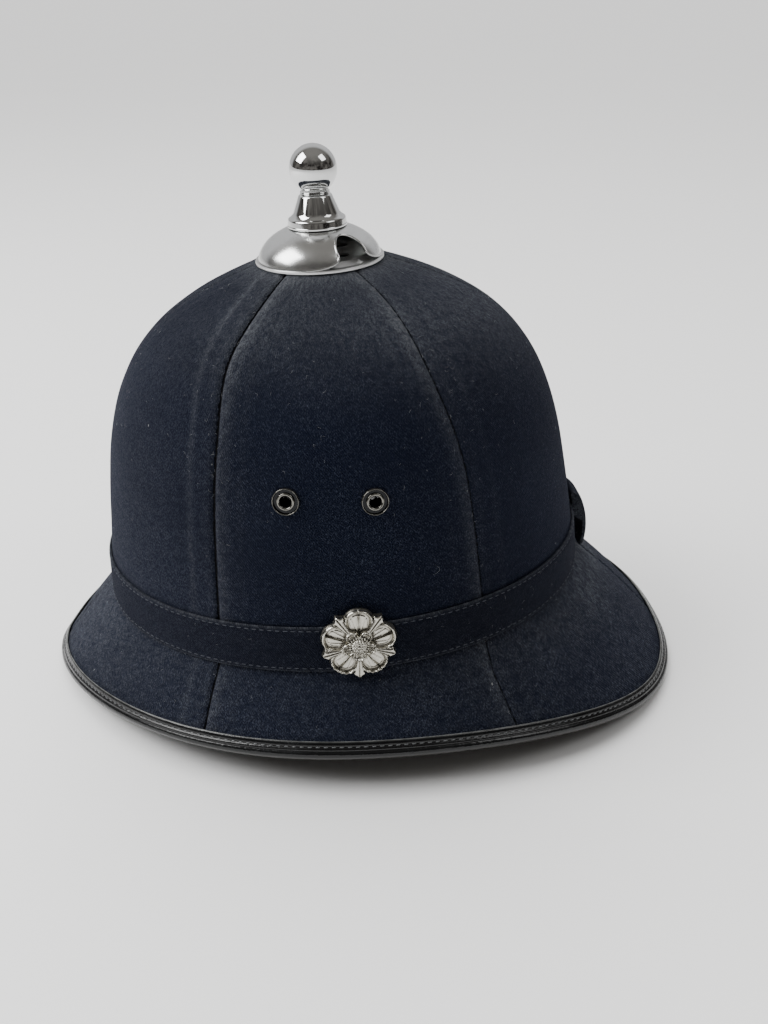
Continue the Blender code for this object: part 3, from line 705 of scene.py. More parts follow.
def serge_material(name, settings, darker=1.0):
    """Wool serge: fine ribs, crisp raised fibre, cloudy wear, dust at the seams with painted light on upper
    and front faces, painted shade along the seams and lint specks.
    """
    material, tree, shader = new_material(name)
    laid = object_place(tree, turn=(0, 0, math.radians(38)), source="UV")
    drawn = object_place(tree, scale=(1.0, 0.55, 1.0), turn=(0, 0, math.radians(-24)), source="UV")
    plain = object_place(tree, source="UV")
    space = object_place(tree)
    ribs = add_node(tree, "ShaderNodeTexWave", {
        "Vector": laid, "Scale": math.tau / (20 * settings.rib_spacing), "Distortion": 0.9,
        "Detail": 2.0, "Detail Scale": 2.4, "Detail Roughness": 0.7,
    }, wave_type="BANDS", bands_direction="X").outputs["Fac"]
    fibre = noise(tree, drawn, 1900, detail=2.0, roughness=0.75)
    hairs = noise(tree, drawn, 1050, detail=1.0, roughness=0.6, distortion=0.8)
    clumps = noise(tree, plain, 330, detail=4.0, roughness=0.7, distortion=0.5)
    cloud = noise(tree, space, 24, detail=5.0, roughness=0.62)
    broad = noise(tree, space, 7, detail=2.0)

    cover = ranged(tree, cloud, 0.36, 0.66, 0.62, 1.15)
    crisp = combined(tree, "MULTIPLY", ranged(tree, fibre, 0.51, 0.66),
                     ranged(tree, clumps, 0.36, 0.66, 0.30, 1.0))
    strands = combined(tree, "MULTIPLY", ranged(tree, hairs, 0.58, 0.68), 0.30)
    nap = combined(tree, "MULTIPLY", combined(tree, "ADD", crisp, strands), cover)
    nap = combined(tree, "ADD", nap, combined(tree, "MULTIPLY", ribs, 0.10))
    base = scaled(settings.cloth_colour, darker)
    colour = mixed(tree, nap, base, scaled(settings.nap_colour, darker))
    shade = ranged(tree, broad, 0.3, 0.7, 0.80, 1.20)
    shade_colour = add_node(tree, "ShaderNodeCombineColor", {0: shade, 1: shade, 2: shade}).outputs[0]
    colour = mixed(tree, 1.0, colour, shade_colour, blend="MULTIPLY")

    patches = combined(tree, "MULTIPLY", ranged(tree, clumps, 0.38, 0.64),
                       ranged(tree, cloud, 0.34, 0.60, 0.4, 1.0))
    grainy = combined(tree, "MULTIPLY", ranged(tree, fibre, 0.40, 0.60, 0.35, 1.0),
                      ranged(tree, patches, 0.0, 0.7, 0.34, 1.0))
    # The pale mix: real dust along seams and edges, plus painted light on the panels' upper and front faces
    dust_and_light = combined(tree, "MULTIPLY", attribute(tree, "dust_and_light"), grainy)
    colour = mixed(tree, dust_and_light, colour, tuple(settings.dust_and_light_colour))
    # Painted shade: the cloth darkens to near black along each seam, its edge made ragged by fibre noise
    ragged_seam_shade = combined(tree, "ADD", attribute(tree, "seam"), ranged(tree, hairs, 0.3, 0.7, -0.34, 0.34))
    colour = mixed(tree, ranged(tree, ragged_seam_shade, 0.30, 0.62), colour, SEAM_SHADE_COLOUR)

    cells = add_node(tree, "ShaderNodeTexVoronoi", {"Vector": drawn, "Scale": 150.0, "Randomness": 1.0})
    chance = add_node(tree, "ShaderNodeSeparateColor", {0: cells.outputs["Color"]}).outputs[0]
    speck = combined(tree, "LESS_THAN", cells.outputs["Distance"],
                     ranged(tree, chance, 0.72, 1.0, 0.0, 0.060))
    colour = mixed(tree, combined(tree, "MULTIPLY", speck, 0.6), colour, tuple(settings.lint_colour))

    tree.links.new(colour, shader.inputs["Base Color"])
    shader.inputs["Roughness"].default_value = 1.0
    shader.inputs["Specular IOR Level"].default_value = 0.06
    shader.inputs["Sheen Weight"].default_value = 0.045
    shader.inputs["Sheen Roughness"].default_value = 0.4
    shader.inputs["Sheen Tint"].default_value = (0.70, 0.72, 0.92, 1.0)
    height = combined(tree, "ADD", combined(tree, "MULTIPLY", ribs, 0.25), fibre)
    height = combined(tree, "ADD", height, combined(tree, "MULTIPLY", clumps, 1.2))
    bump(tree, shader, height, 0.00070, 1.0)
    return material


def thread_material(name, colour, roughness):
    material, tree, shader = new_material(name)
    place = object_place(tree)
    twist = noise(tree, place, 2600, detail=2.0)
    tone = mixed(tree, ranged(tree, twist, 0.35, 0.65), scaled(colour, 0.6), scaled(colour, 1.5))
    tree.links.new(tone, shader.inputs["Base Color"])
    shader.inputs["Roughness"].default_value = roughness
    bump(tree, shader, twist, 0.00008)
    return material


def body_material(settings):
    """The moulded body: matt black with a pressed, slightly fibrous face."""
    material, tree, shader = new_material("black_moulded_body")
    place = object_place(tree)
    grain = noise(tree, place, 900, detail=4.0, roughness=0.65)
    cloud = noise(tree, place, 26, detail=4.0)
    dark = tuple(settings.body_colour)
    tone = mixed(tree, ranged(tree, cloud, 0.35, 0.7), dark, scaled(dark, 2.2))
    tree.links.new(tone, shader.inputs["Base Color"])
    tree.links.new(ranged(tree, grain, 0.3, 0.7, 0.66, 0.88), shader.inputs["Roughness"])
    bump(tree, shader, combined(tree, "ADD", grain, combined(tree, "MULTIPLY", cloud, 2.0)), 0.0002)
    return material


def leather_material(settings):
    """Patent leather: a glossy coat over fine grain, smeared and creased, with a pale line along its top
    edge.
    """
    material, tree, shader = new_material("black_patent_leather")
    place = object_place(tree)
    smear = noise(tree, place, 45, detail=4.0, roughness=0.6, distortion=0.6)
    grain = noise(tree, place, 950, detail=3.0)
    creases = noise(tree, place, 210, detail=3.0, roughness=0.6, distortion=1.2)
    # A pale, matt line along the leather's top edge, broken by noise
    edge = attribute(tree, "cut")
    edge_breaks = noise(tree, place, 160, detail=3.0)
    near_edge = combined(tree, "MULTIPLY", edge, ranged(tree, edge_breaks, 0.30, 0.62, 0.35, 1.0))
    tone = mixed(tree, ranged(tree, smear, 0.45, 0.75, 0.0, 0.55), tuple(settings.leather_colour),
                 scaled(settings.leather_colour, 3.2))
    tone = mixed(tree, near_edge, tone, tuple(settings.top_edge_colour))
    tree.links.new(tone, shader.inputs["Base Color"])
    rough = ranged(tree, smear, 0.35, 0.75, 0.14, 0.34)
    tree.links.new(combined(tree, "MAXIMUM", rough, combined(tree, "MULTIPLY", edge, 0.55)),
                   shader.inputs["Roughness"])
    shader.inputs["Specular IOR Level"].default_value = 0.30
    shader.inputs["Coat Weight"].default_value = 0.12
    shader.inputs["Coat Roughness"].default_value = 0.10
    height = combined(tree, "ADD", combined(tree, "MULTIPLY", grain, 0.25), creases)
    bump(tree, shader, height, 0.00030, 0.7)
    return material


def chrome_material(name, colour, rough_low, rough_high):
    """Plated metal with faint smudges, hairline scratches and soft waves from polishing."""
    material, tree, shader = new_material(name)
    place = object_place(tree)
    smudge = noise(tree, place, 70, detail=5.0, roughness=0.65, distortion=0.5)
    scratches = noise(tree, object_place(tree, scale=(1, 1, 14)), 900, detail=2.0)
    tone = mixed(tree, ranged(tree, smudge, 0.4, 0.75), tuple(colour), scaled(colour, 0.86))
    tree.links.new(tone, shader.inputs["Base Color"])
    shader.inputs["Metallic"].default_value = 1.0
    tree.links.new(ranged(tree, smudge, 0.35, 0.75, rough_low, rough_high), shader.inputs["Roughness"])
    waves = noise(tree, place, 120, detail=2.0)
    height = combined(tree, "ADD", combined(tree, "MULTIPLY", scratches, 0.05), waves)
    bump(tree, shader, height, 0.00004, 0.5)
    return material


def rose_material(settings):
    """Cast plating, bright on the raised lines and dull in the hollows."""
    material, tree, shader = new_material("plated_rose")
    place = object_place(tree)
    hollow = attribute(tree, "hollow")
    tarnish = noise(tree, place, 700, detail=3.0)
    patina = combined(tree, "MULTIPLY", hollow, ranged(tree, tarnish, 0.3, 0.7, 0.5, 1.2))
    tone = mixed(tree, patina, tuple(settings.rose_colour), tuple(settings.recess_colour))
    tree.links.new(tone, shader.inputs["Base Color"])
    shader.inputs["Metallic"].default_value = 1.0
    tree.links.new(ranged(tree, hollow, 0.0, 1.0, 0.20, 0.46), shader.inputs["Roughness"])
    bump(tree, shader, noise(tree, place, 1300, detail=3.0), 0.00006, 0.6)
    return material


def eyelet_material(settings):
    """Glossy black flange with a worn bright tube inside it."""
    material, tree, shader = new_material("black_enamel_metal")
    place = object_place(tree)
    bore = attribute(tree, "bore")
    wear = noise(tree, place, 500, detail=4.0)
    tone = mixed(tree, combined(tree, "MULTIPLY", bore, ranged(tree, wear, 0.3, 0.65, 0.55, 1.0)),
                 tuple(settings.enamel_colour), tuple(settings.tube_colour))
    tree.links.new(tone, shader.inputs["Base Color"])
    shader.inputs["Metallic"].default_value = 0.9
    tree.links.new(ranged(tree, wear, 0.35, 0.7, 0.07, 0.20), shader.inputs["Roughness"])
    shader.inputs["Coat Weight"].default_value = 0.15
    shader.inputs["Coat Roughness"].default_value = 0.06
    bump(tree, shader, wear, 0.00004, 0.5)
    return material


def plain_material(name, colour, roughness):
    material, tree, shader = new_material(name)
    place = object_place(tree)
    tone = mixed(tree, noise(tree, place, 3, detail=2.0), tuple(colour), scaled(colour, 0.985))
    tree.links.new(tone, shader.inputs["Base Color"])
    shader.inputs["Roughness"].default_value = roughness
    shader.inputs["Specular IOR Level"].default_value = 0.2
    return material


def shared_material(name, make, *values, **named):
    """One material for all the pieces that are made of it."""
    found = bpy.data.materials.get(name)
    return found or make(name, *values, **named)


def navy_serge():
    return shared_material("navy_serge", serge_material, bpy.context.scene.helmet_cloth)


def band_serge():
    return shared_material("band_serge", serge_material, bpy.context.scene.helmet_cloth, darker=0.68)


# Fastening places

def eyelet_places():
    places = []
    for side in ("left", "right"):
        for row in EYELETS:
            angle = row["angle"] if side == "left" else math.pi - row["angle"]
            travel = travel_at_height(row["height"] * CROWN_HEIGHT)
            matrix = facing_matrix(cloth_point(angle, travel), cloth_normal(angle, travel))
            places.append((side, row["name"], matrix))
    return places


def rosette_places():
    places = []
    for side, angle in (("left", ROSETTE_TURN), ("right", math.pi - ROSETTE_TURN)):
        normal = cloth_normal(angle, 1.5)
        share = np.asarray(ROSETTE_DROP_SHARE)
        point = band_point(np.asarray(angle), share) + normal * (BAND_STAND + FIT_GAP)
        places.append((side, facing_matrix(point, normal)))
    return places


def wall_cutters(sides=("left", "right")):
    """Rods for the holes that the eyelets and the roses' studs pass through."""
    rods = []
    for side, _, matrix in eyelet_places():
        if side in sides:
            radius = EYELET_BORE_RADIUS + EYELET_TUBE_WALL + FIT_GAP
            rods.append(cutter_rod(radius, WALL_TOTAL * 4, matrix))
    for side, matrix in rosette_places():
        if side in sides:
            rods.append(cutter_rod(ROSETTE_STUD_RADIUS + FIT_GAP, WALL_TOTAL * 5, matrix, 20))
    return rods


class HELMET_OT_body(Operator):
    """Builds the hard body inside the cloth"""

    bl_idname = "helmet.body"
    bl_label = "Hard body"

    def execute(self, context):
        travels = even_travels(56, 4, 20)
        angles = np.linspace(0, 2 * math.pi, 144, endpoint=False)
        angle, travel = np.meshgrid(angles, travels)
        point, normal = cloth_point(angle, travel), cloth_normal(angle, travel)
        outer = point - normal * (COVER_WALL + FIT_GAP)
        inner = point - normal * WALL_TOTAL
        loop = np.concatenate([outer, inner[::-1], outer[:1]], axis=0)
        body = grid_object("hard_body", loop, closed=True)
        outward(body)
        rods = wall_cutters()
        cut(body, *rods)
        drop(*rods)
        finish_piece(body, "hard_body", body_material(context.scene.helmet_cloth), "shell")
        return {"FINISHED"}


class HELMET_OT_panels(Operator):
    """Builds the six cloth panels with their turned-in seams"""

    bl_idname = "helmet.panels"
    bl_label = "Cloth panels"

    def execute(self, context):
        settings = context.scene.helmet_cloth
        travels = even_travels(104, 8, 44)
        share = np.linspace(-1, 1, settings.columns + 1)
        spread = np.sign(share) * (1 - (1 - np.abs(share)) ** 1.35)
        middle_line = cloth_point(np.full_like(travels, 0.1), travels)
        run = running_length(middle_line)
        for name, middle in PANELS:
            flat_angle = math.radians(middle) + spread * math.pi / 6
            angle, travel = np.meshgrid(flat_angle, travels)
            angle = seam_angle(angle, travel)
            point, normal = cloth_point(angle, travel), cloth_normal(angle, travel)
            steps = np.linalg.norm(np.diff(point, axis=1), axis=2)
            first = np.concatenate([np.zeros((len(travels), 1)), np.cumsum(steps, axis=1)], axis=1)
            last = first[:, -1:] - first
            near = np.minimum(first, last)
            soft_side = {"left": last, "rear_right": last, "rear_left": first, "right": first}.get(name)
            crisp = np.ones_like(near) if soft_side is None else np.where(soft_side == near, 0.6, 1.0)
            lift = -settings.seam_depth * crisp * np.exp(-(near / settings.seam_width) ** 2)
            edges = 1 / (1 + np.exp((near - settings.allowance_width) / 0.0006))
            narrow = np.clip((first[:, -1:] / 2 - settings.allowance_width) / 0.006, 0, 1)
            fold_front = 1.0 if name in ("front_left", "front_right") else 0.35
            side_seam = last if name in ("front_left", "rear_right", "right") else first
            heavy = np.where(side_seam == near, fold_front, 0.3)
            lift += settings.allowance_rise * edges * heavy * narrow
            lift += unevenness(point, CLOTH_WAVE)
            lift = np.where(travel > 2.93, np.minimum(lift, 0), lift)
            under_band = (travel > 0.985) & (travel < 2.03)
            lift = np.where(under_band, np.minimum(lift, 0.00015), lift)
            moved = point + normal * lift[..., None]
            for edge, beside in ((0, 1), (-1, -2)):
                across = moved[:, beside] - moved[:, edge]
                reach = np.linalg.norm(across, axis=1, keepdims=True)
                moved[:, edge] += across / reach * np.minimum(SEAM_GAP, reach * 0.5)
            beside = 0.9 if name in ("left", "right") else 0.25
            upper = 0.35 + 0.65 * np.clip(1 - travel / 0.75, 0, 1)
            dust_and_light = beside * upper * np.exp(-((near - 0.0018) / 0.0042) ** 2)
            dust_and_light += beside * 0.6 * upper ** 3 * np.exp(-((near - 0.0010) / 0.0007) ** 2)
            fold = np.exp(-((near - settings.allowance_width - 0.0006) / 0.0018) ** 2)
            dust_and_light += 0.52 * heavy * fold * narrow * upper
            dust_and_light += 0.70 * np.exp(-((run[:, None] + 0 * near - 0.006) / 0.008) ** 2)
            rear = np.clip(np.sin(angle), 0, 1) ** 3
            dust_and_light += np.where(travel > 2, 0.55 * rear * np.exp(-((travel - 2.15) / 0.22) ** 2), 0)
            # Painted light: faces turned up and faces toward the front are made paler, as if lit from above
            # and from the front
            front = np.clip(-np.sin(angle), 0, 1) ** 2
            top_light = np.clip((normal[..., 2] - 0.35) / 0.45, 0, 1)
            crown_painted_light = 0.20 * front * (1 - top_light) + (0.52 - 0.42 * front) * top_light ** 1.5
            dust_and_light += np.where(travel > 2, 0.28 * front + 0.24 * top_light, crown_painted_light)
            dust_and_light *= np.where((travel > 1) & (travel < 2), 0, 1)
            # Painted shade along each seam, kept in the seam attribute and weaker on a panel's soft side
            seam_shade = crisp * np.exp(-(near / np.where(travel > 2, 0.00040, 0.00048)) ** 2)
            across = (angle - math.radians(middle)) * 0.104 + middle
            weave = np.stack([across, 0 * angle + run[:, None]], axis=-1)
            panel = grid_object("cloth_" + name, moved, weave)
            set_attribute(panel, "dust_and_light", np.clip(dust_and_light * settings.dust_and_light_amount, 0, 1))
            set_attribute(panel, "seam", seam_shade)
            apply_modifier(panel, "SOLIDIFY", thickness=CLOTH_THICKNESS, offset=-1, use_even_offset=True)
            if name in ("left", "right"):
                rods = wall_cutters((name,))
                cut(panel, *rods)
                drop(*rods)
            finish_piece(panel, "navy_cloth", navy_serge(), "cover_" + name)
        return {"FINISHED"}


class HELMET_OT_band(Operator):
    """Builds the cloth band with its folded edges and two rows of stitches"""

    bl_idname = "helmet.band"
    bl_label = "Cloth band"

    def execute(self, context):
        settings = context.scene.helmet_cloth
        top, bottom = -0.0005, BAND_DEPTH - FIT_GAP
        rise = BAND_STAND
        across = np.linspace(top, bottom, 26)
        from_edge = np.minimum(across - top, bottom - across)
        face = rise + 0.00025 * (1 - np.exp(-from_edge / 0.0005)) - 0.00025
        face -= 0.00022 * np.exp(-((from_edge - settings.stitch_inset) / 0.00045) ** 2)
        fold = [(top - 0.00012, rise - 0.0006), (top, FIT_GAP + 0.0001)]
        hem = [(bottom + 0.00012, rise - 0.0006), (bottom, FIT_GAP + 0.0001)]
        section = [fold[1], fold[0]] + list(zip(across, face)) + [hem[0], hem[1], fold[1]]
        drops = np.array([row[0] for row in section])
        stands = np.array([row[1] for row in section])
        angles = np.linspace(0, 2 * math.pi, 400, endpoint=False)
        angle, depth = np.meshgrid(angles, drops)
        normal = cloth_normal(angle, np.full_like(angle, 1.5))
        base = band_point(angle, depth / BAND_DEPTH)
        waver = unevenness(base, 0.00012) * (depth > top) * (depth < bottom)
        points = base + normal * (stands[:, None] + waver)[..., None]
        along = running_length(base[0])
        weave = np.stack([np.broadcast_to(along, angle.shape), depth + 3.0], axis=-1)
        band = grid_object("band", points, weave, closed=True)
        near_edge = np.exp(-((np.minimum(depth - top, bottom - depth)) / 0.0007) ** 2)
        set_attribute(band, "dust_and_light", np.clip(0.34 * near_edge + 0.04, 0, 1))
        outward(band)
        rods = wall_cutters()
        cut(band, *rods)
        drop(*rods)
        finish_piece(band, "band_cloth", band_serge(), "hatband")
        thread = thread_material("navy_thread", (0.030, 0.034, 0.046), 0.7)
        for name, inset in (("upper", top + settings.stitch_inset),
                            ("lower", bottom - settings.stitch_inset)):
            def line(at):
                stand = cloth_normal(at, np.full_like(at, 1.5)) * (rise - 0.00012)
                return band_point(at, np.full_like(at, inset / BAND_DEPTH)) + stand

            at, points, directions = even_stations(line, settings.stitch_pitch)
            normals = cloth_normal(at, np.full_like(at, 1.5))
            row = stitch_row("band_stitches_" + name, points, directions, normals,
                             settings.stitch_pitch * 0.62, settings.thread_radius)
            finish_piece(row, "band_cloth", thread)
        return {"FINISHED"}


class HELMET_OT_keeper(Operator):
    """Builds the cloth loop over the band at the back"""

    bl_idname = "helmet.keeper"
    bl_label = "Band loop"

    def execute(self, context):
        centre = math.pi / 2
        ends = brim_point(np.array([centre, centre]), np.array([0.0, 1.0]))
        brim_length = float(np.linalg.norm(ends[1] - ends[0]))
        marks = np.array([
            travel_at_height(KEEPER_REACH), travel_at_height(KEEPER_REACH / 2),
            1.10, 1.40, 1.70, 2.0, 2 + KEEPER_REACH / 3 / brim_length,
        ])
        rearward = np.array(CROWN_FRAME.to_3x3() @ Vector((0, 1, 0)))
        spots = np.linspace(0, 6, 7)
        bow = KEEPER_BOW * np.sin(math.pi * spots / 6) ** 0.62
        stand = FIT_GAP * 1.6 + KEEPER_WALL + bow
        anchors = cloth_point(np.full(7, centre), marks) + rearward * stand[:, None]
        fine = np.linspace(0, 6, 41)
        path = np.stack([self.smooth(spots, anchors[:, axis], fine) for axis in range(3)], axis=-1)
        along = unit(np.gradient(path, axis=0))
        out = unit(np.cross(np.broadcast_to([1.0, 0, 0], path.shape), along))
        out *= np.sign(out @ rearward)[:, None]
        width = np.linspace(-0.5, 0.5, 13)
        crest = -0.0004 * (2 * np.abs(width)) ** 4
        thick = KEEPER_WALL * (0.85 + 0.45 * np.sin(math.pi * fine / 6) ** 0.7)
        folded = np.clip((3.0 - fine) / 0.9, 0, 1)
        thick += KEEPER_BOW * 0.92 * np.sin(math.pi * fine / 6) ** 0.62 * folded ** 0.7
        across = np.concatenate([width, width[::-1]]) * LOOP_WIDTH
        inset = np.concatenate([np.abs(crest), -np.abs(crest)])[None] + np.concatenate(
            [np.zeros((41, 13)), np.repeat(thick[:, None], 13, axis=1)], axis=1)
        side = np.zeros((26, 3))
        side[:, 0] = across
        points = path[:, None] + side[None] - out[:, None] * inset[..., None]
        ends = points.mean(axis=1, keepdims=True) + np.zeros((1, 26, 1))
        points = np.concatenate([ends[:1], points, ends[-1:]], axis=0)
        run = running_length(path)
        rows = np.concatenate([run[:1], run, run[-1:]])[:, None]
        around = np.abs(across[None]) + 5 + np.concatenate([inset[:1], inset, inset[-1:]], axis=0)
        weave = np.stack(np.broadcast_arrays(around, rows), axis=-1)
        keeper = grid_object("band_loop", points, weave, closed=True)
        edge = np.exp(-((LOOP_WIDTH / 2 - np.abs(across)) / 0.0012) ** 2)
        set_attribute(keeper, "dust_and_light", np.broadcast_to(0.05 + 0.30 * edge[None], points.shape[:2]))
        outward(keeper)
        finish_piece(keeper, "band_cloth", band_serge(), "band_keeper", angle=60)
        return {"FINISHED"}

    @staticmethod
    def smooth(spots, values, fine):
        """A smooth curve through evenly spaced values."""
        padded = np.concatenate([[2 * values[0] - values[1]], values, [2 * values[-1] - values[-2]]])
        base = np.minimum(fine.astype(int), len(values) - 2)
        t = fine - base
        a, b, c, d = (padded[base + shift] for shift in range(4))
        return 0.5 * (2 * b + (c - a) * t + (2 * a - 5 * b + 4 * c - d) * t ** 2
                      + (3 * b - a - 3 * c + d) * t ** 3)


class HELMET_OT_edging(Operator):
    """Builds the patent leather folded round the rim, with its groove and stitches"""

    bl_idname = "helmet.edging"
    bl_label = "Leather edging"

    def execute(self, context):
        settings = context.scene.helmet_leather
        roll, leg = EDGING_ROLL, EDGING_LEG
        inside = roll - EDGING_WALL
        stitch_up = leg * 0.50
        top = [(inside + 0.0002, leg - 0.0001), (inside + 0.00045, leg + 0.00015),
               (roll - 0.0003, leg + 0.0002), (roll - 0.00005, leg - 0.00005)]
        ups = np.linspace(leg - 0.0006, 0.0002, 15)
        outs = roll - settings.groove_depth * np.exp(-((ups - stitch_up) / 0.0005) ** 2)
        outs = outs - 0.00030 * np.exp(-((ups - 0.0004) / 0.0004) ** 2)
        turns = np.linspace(0.12, math.pi - 0.05, 19)
        lip = roll + 0.00012 * np.exp(-((turns - 0.5) / 0.35) ** 2)
        outer = top + list(zip(outs, ups)) + list(zip(lip * np.cos(turns), -lip * np.sin(turns)))
        inner_leg = [(-roll, up) for up in np.linspace(0.0004, leg - 0.0006, 5)]
        inner_leg += [(-roll + 0.0002, leg + 0.0001), (-inside - 0.0003, leg + 0.0002),
                      (-inside - 0.0001, leg - 0.0001)]
        back_turns = np.linspace(math.pi - 0.05, 0.05, 9)
        hollow = [(inside * math.cos(turn), -inside * math.sin(turn)) for turn in back_turns]
        hollow = [(-inside - 0.0001, leg * 0.5)] + hollow + [(inside + 0.0001, leg * 0.5)]
        section = outer + inner_leg + hollow + [outer[0]]
        outs = np.array([row[0] for row in section])
        ups = np.array([row[1] for row in section])
        angles = np.linspace(0, 2 * math.pi, 540, endpoint=False)
        angle, out_grid = np.meshgrid(angles, outs)
        up_grid = np.broadcast_to(ups[:, None], angle.shape)
        centre, up, out = rim_frame(angle)
        wrinkle = self.wrinkles(angle, up_grid) * (out_grid > 0.001)
        points = centre + out * (out_grid + wrinkle)[..., None] + up * up_grid[..., None]
        foot = rim_lift(angle)
        points[..., 2] = np.maximum(points[..., 2], foot)
        edging = grid_object("rim_edging", points, closed=True)
        # Marks the top of the section, where the pale line runs
        top_edge_line = np.zeros(len(section))
        top_edge_line[[0, 1, 2, 3, -1]] = (1.0, 1.0, 1.0, 0.25, 1.0)
        set_attribute(edging, "cut", np.broadcast_to(top_edge_line[:, None], angle.shape))
        outward(edging)
        finish_piece(edging, "patent_leather", leather_material(settings), "edging", angle=55)

        def line(at):
            spot, up_there, out_there = rim_frame(at)
            sunk = roll - settings.groove_depth * 0.75
            return spot + out_there * sunk + up_there * stitch_up

        at, spots, directions = even_stations(line, settings.stitch_pitch)
        normals = rim_frame(at)[2]
        tilt = unit(directions + np.cross(normals, directions) * 0.10)
        row = stitch_row("edging_stitches", spots, tilt, normals, settings.stitch_pitch * 0.56,
                         settings.thread_radius)
        finish_piece(row, "patent_leather", thread_material("waxed_thread", (0.050, 0.053, 0.056), 0.35))
        return {"FINISHED"}

    @staticmethod
    def wrinkles(angle, up):
        """Small puckers of the leather, strongest where the rim turns at the rear corners."""
        corner = np.exp(-((np.abs(np.cos(angle)) - 0.55) / 0.25) ** 2) * np.clip(np.sin(angle), 0, 1)
        fine = np.sin(angle * 173 + up * 900) * np.sin(angle * 67 + 1.3)
        return 0.00010 * (0.25 + 1.4 * corner) * fine * np.clip(1 - np.abs(up - 0.002) / 0.004, 0, 1)


class HELMET_OT_lint(Operator):
    """Scatters fine pale fibres over the cloth, thickest along the seams"""

    bl_idname = "helmet.lint"
    bl_label = "Lint fibres"

    def execute(self, context):
        settings = context.scene.helmet_cloth
        chance = np.random.default_rng(11)
        count = settings.lint_count
        travel = np.where(chance.random(count) < 0.62, chance.random(count) ** 0.8,
                          1 + 2 * chance.random(count))
        angle = chance.random(count) * math.tau
        seam = math.radians(30) + math.radians(60) * np.round((angle - math.radians(30)) / math.radians(60))
        drawn = np.clip(chance.normal(0, 0.35, count), -1, 1) * math.radians(8)
        angle = np.where(chance.random(count) < 0.35, seam + drawn, angle)
        length = settings.lint_length * chance.uniform(0.35, 1.0, count)
        long_hair = {"angle": math.radians(18.5), "travel": 0.985, "length": 0.0046}
        angle[0], travel[0], length[0] = long_hair["angle"], long_hair["travel"], long_hair["length"]
        point, normal = cloth_point(angle, travel), cloth_normal(angle, travel)
        on_band = (travel > 1) & (travel < 2)
        lift = 0.00042 + unevenness(point, CLOTH_WAVE) * ~on_band + np.where(on_band, BAND_STAND - 0.0002, 0)
        around = unit(np.cross(normal, [0.0, 0.0, 1.0]))
        turn = chance.random(count) * math.tau
        ahead = around * np.cos(turn)[:, None] + np.cross(normal, around) * np.sin(turn)[:, None]
        beside = np.cross(normal, ahead)
        curl = chance.normal(0, 0.55, count)
        curl[0] = 1.1
        share = np.linspace(-0.5, 0.5, 6)
        bend = (share ** 2 - 0.25) * 2
        line = point[:, None] + ahead[:, None] * (share * length[:, None])[..., None]
        line = line + beside[:, None] * (bend * (curl * length)[:, None])[..., None]
        arch = lift[:, None] + 0.00012 * np.cos(math.pi * share)
        line = line + normal[:, None] * arch[..., None]
        along = unit(np.gradient(line, axis=1))
        flat = unit(np.cross(along, normal[:, None]))
        taper = np.array([0.25, 0.9, 1.0, 1.0, 0.9, 0.25]) * settings.lint_radius
        corners = []
        for spoke in range(3):
            spread = math.tau * spoke / 3
            way = flat * math.cos(spread) + normal[:, None] * math.sin(spread)
            corners.append(line + way * taper[:, None])
        points = np.stack(corners, axis=2).reshape(-1, 3)
        faces = []
        for row in range(5):
            for spoke in range(3):
                near, far = row * 3 + spoke, row * 3 + (spoke + 1) % 3
                faces.append((near, far, far + 3, near + 3))
        faces += [(2, 1, 0), (15, 16, 17)]
        every = [tuple(corner + 18 * hair for corner in face) for hair in range(count) for face in faces]
        mesh = bpy.data.meshes.new("lint_fibres")
        mesh.from_pydata(points.tolist(), [], every)
        lint = linked("lint_fibres", mesh)
        outward(lint, 1e-8)
        finish_piece(lint, "navy_cloth", thread_material("lint_fibre", (0.22, 0.225, 0.235), 0.9))
        return {"FINISHED"}


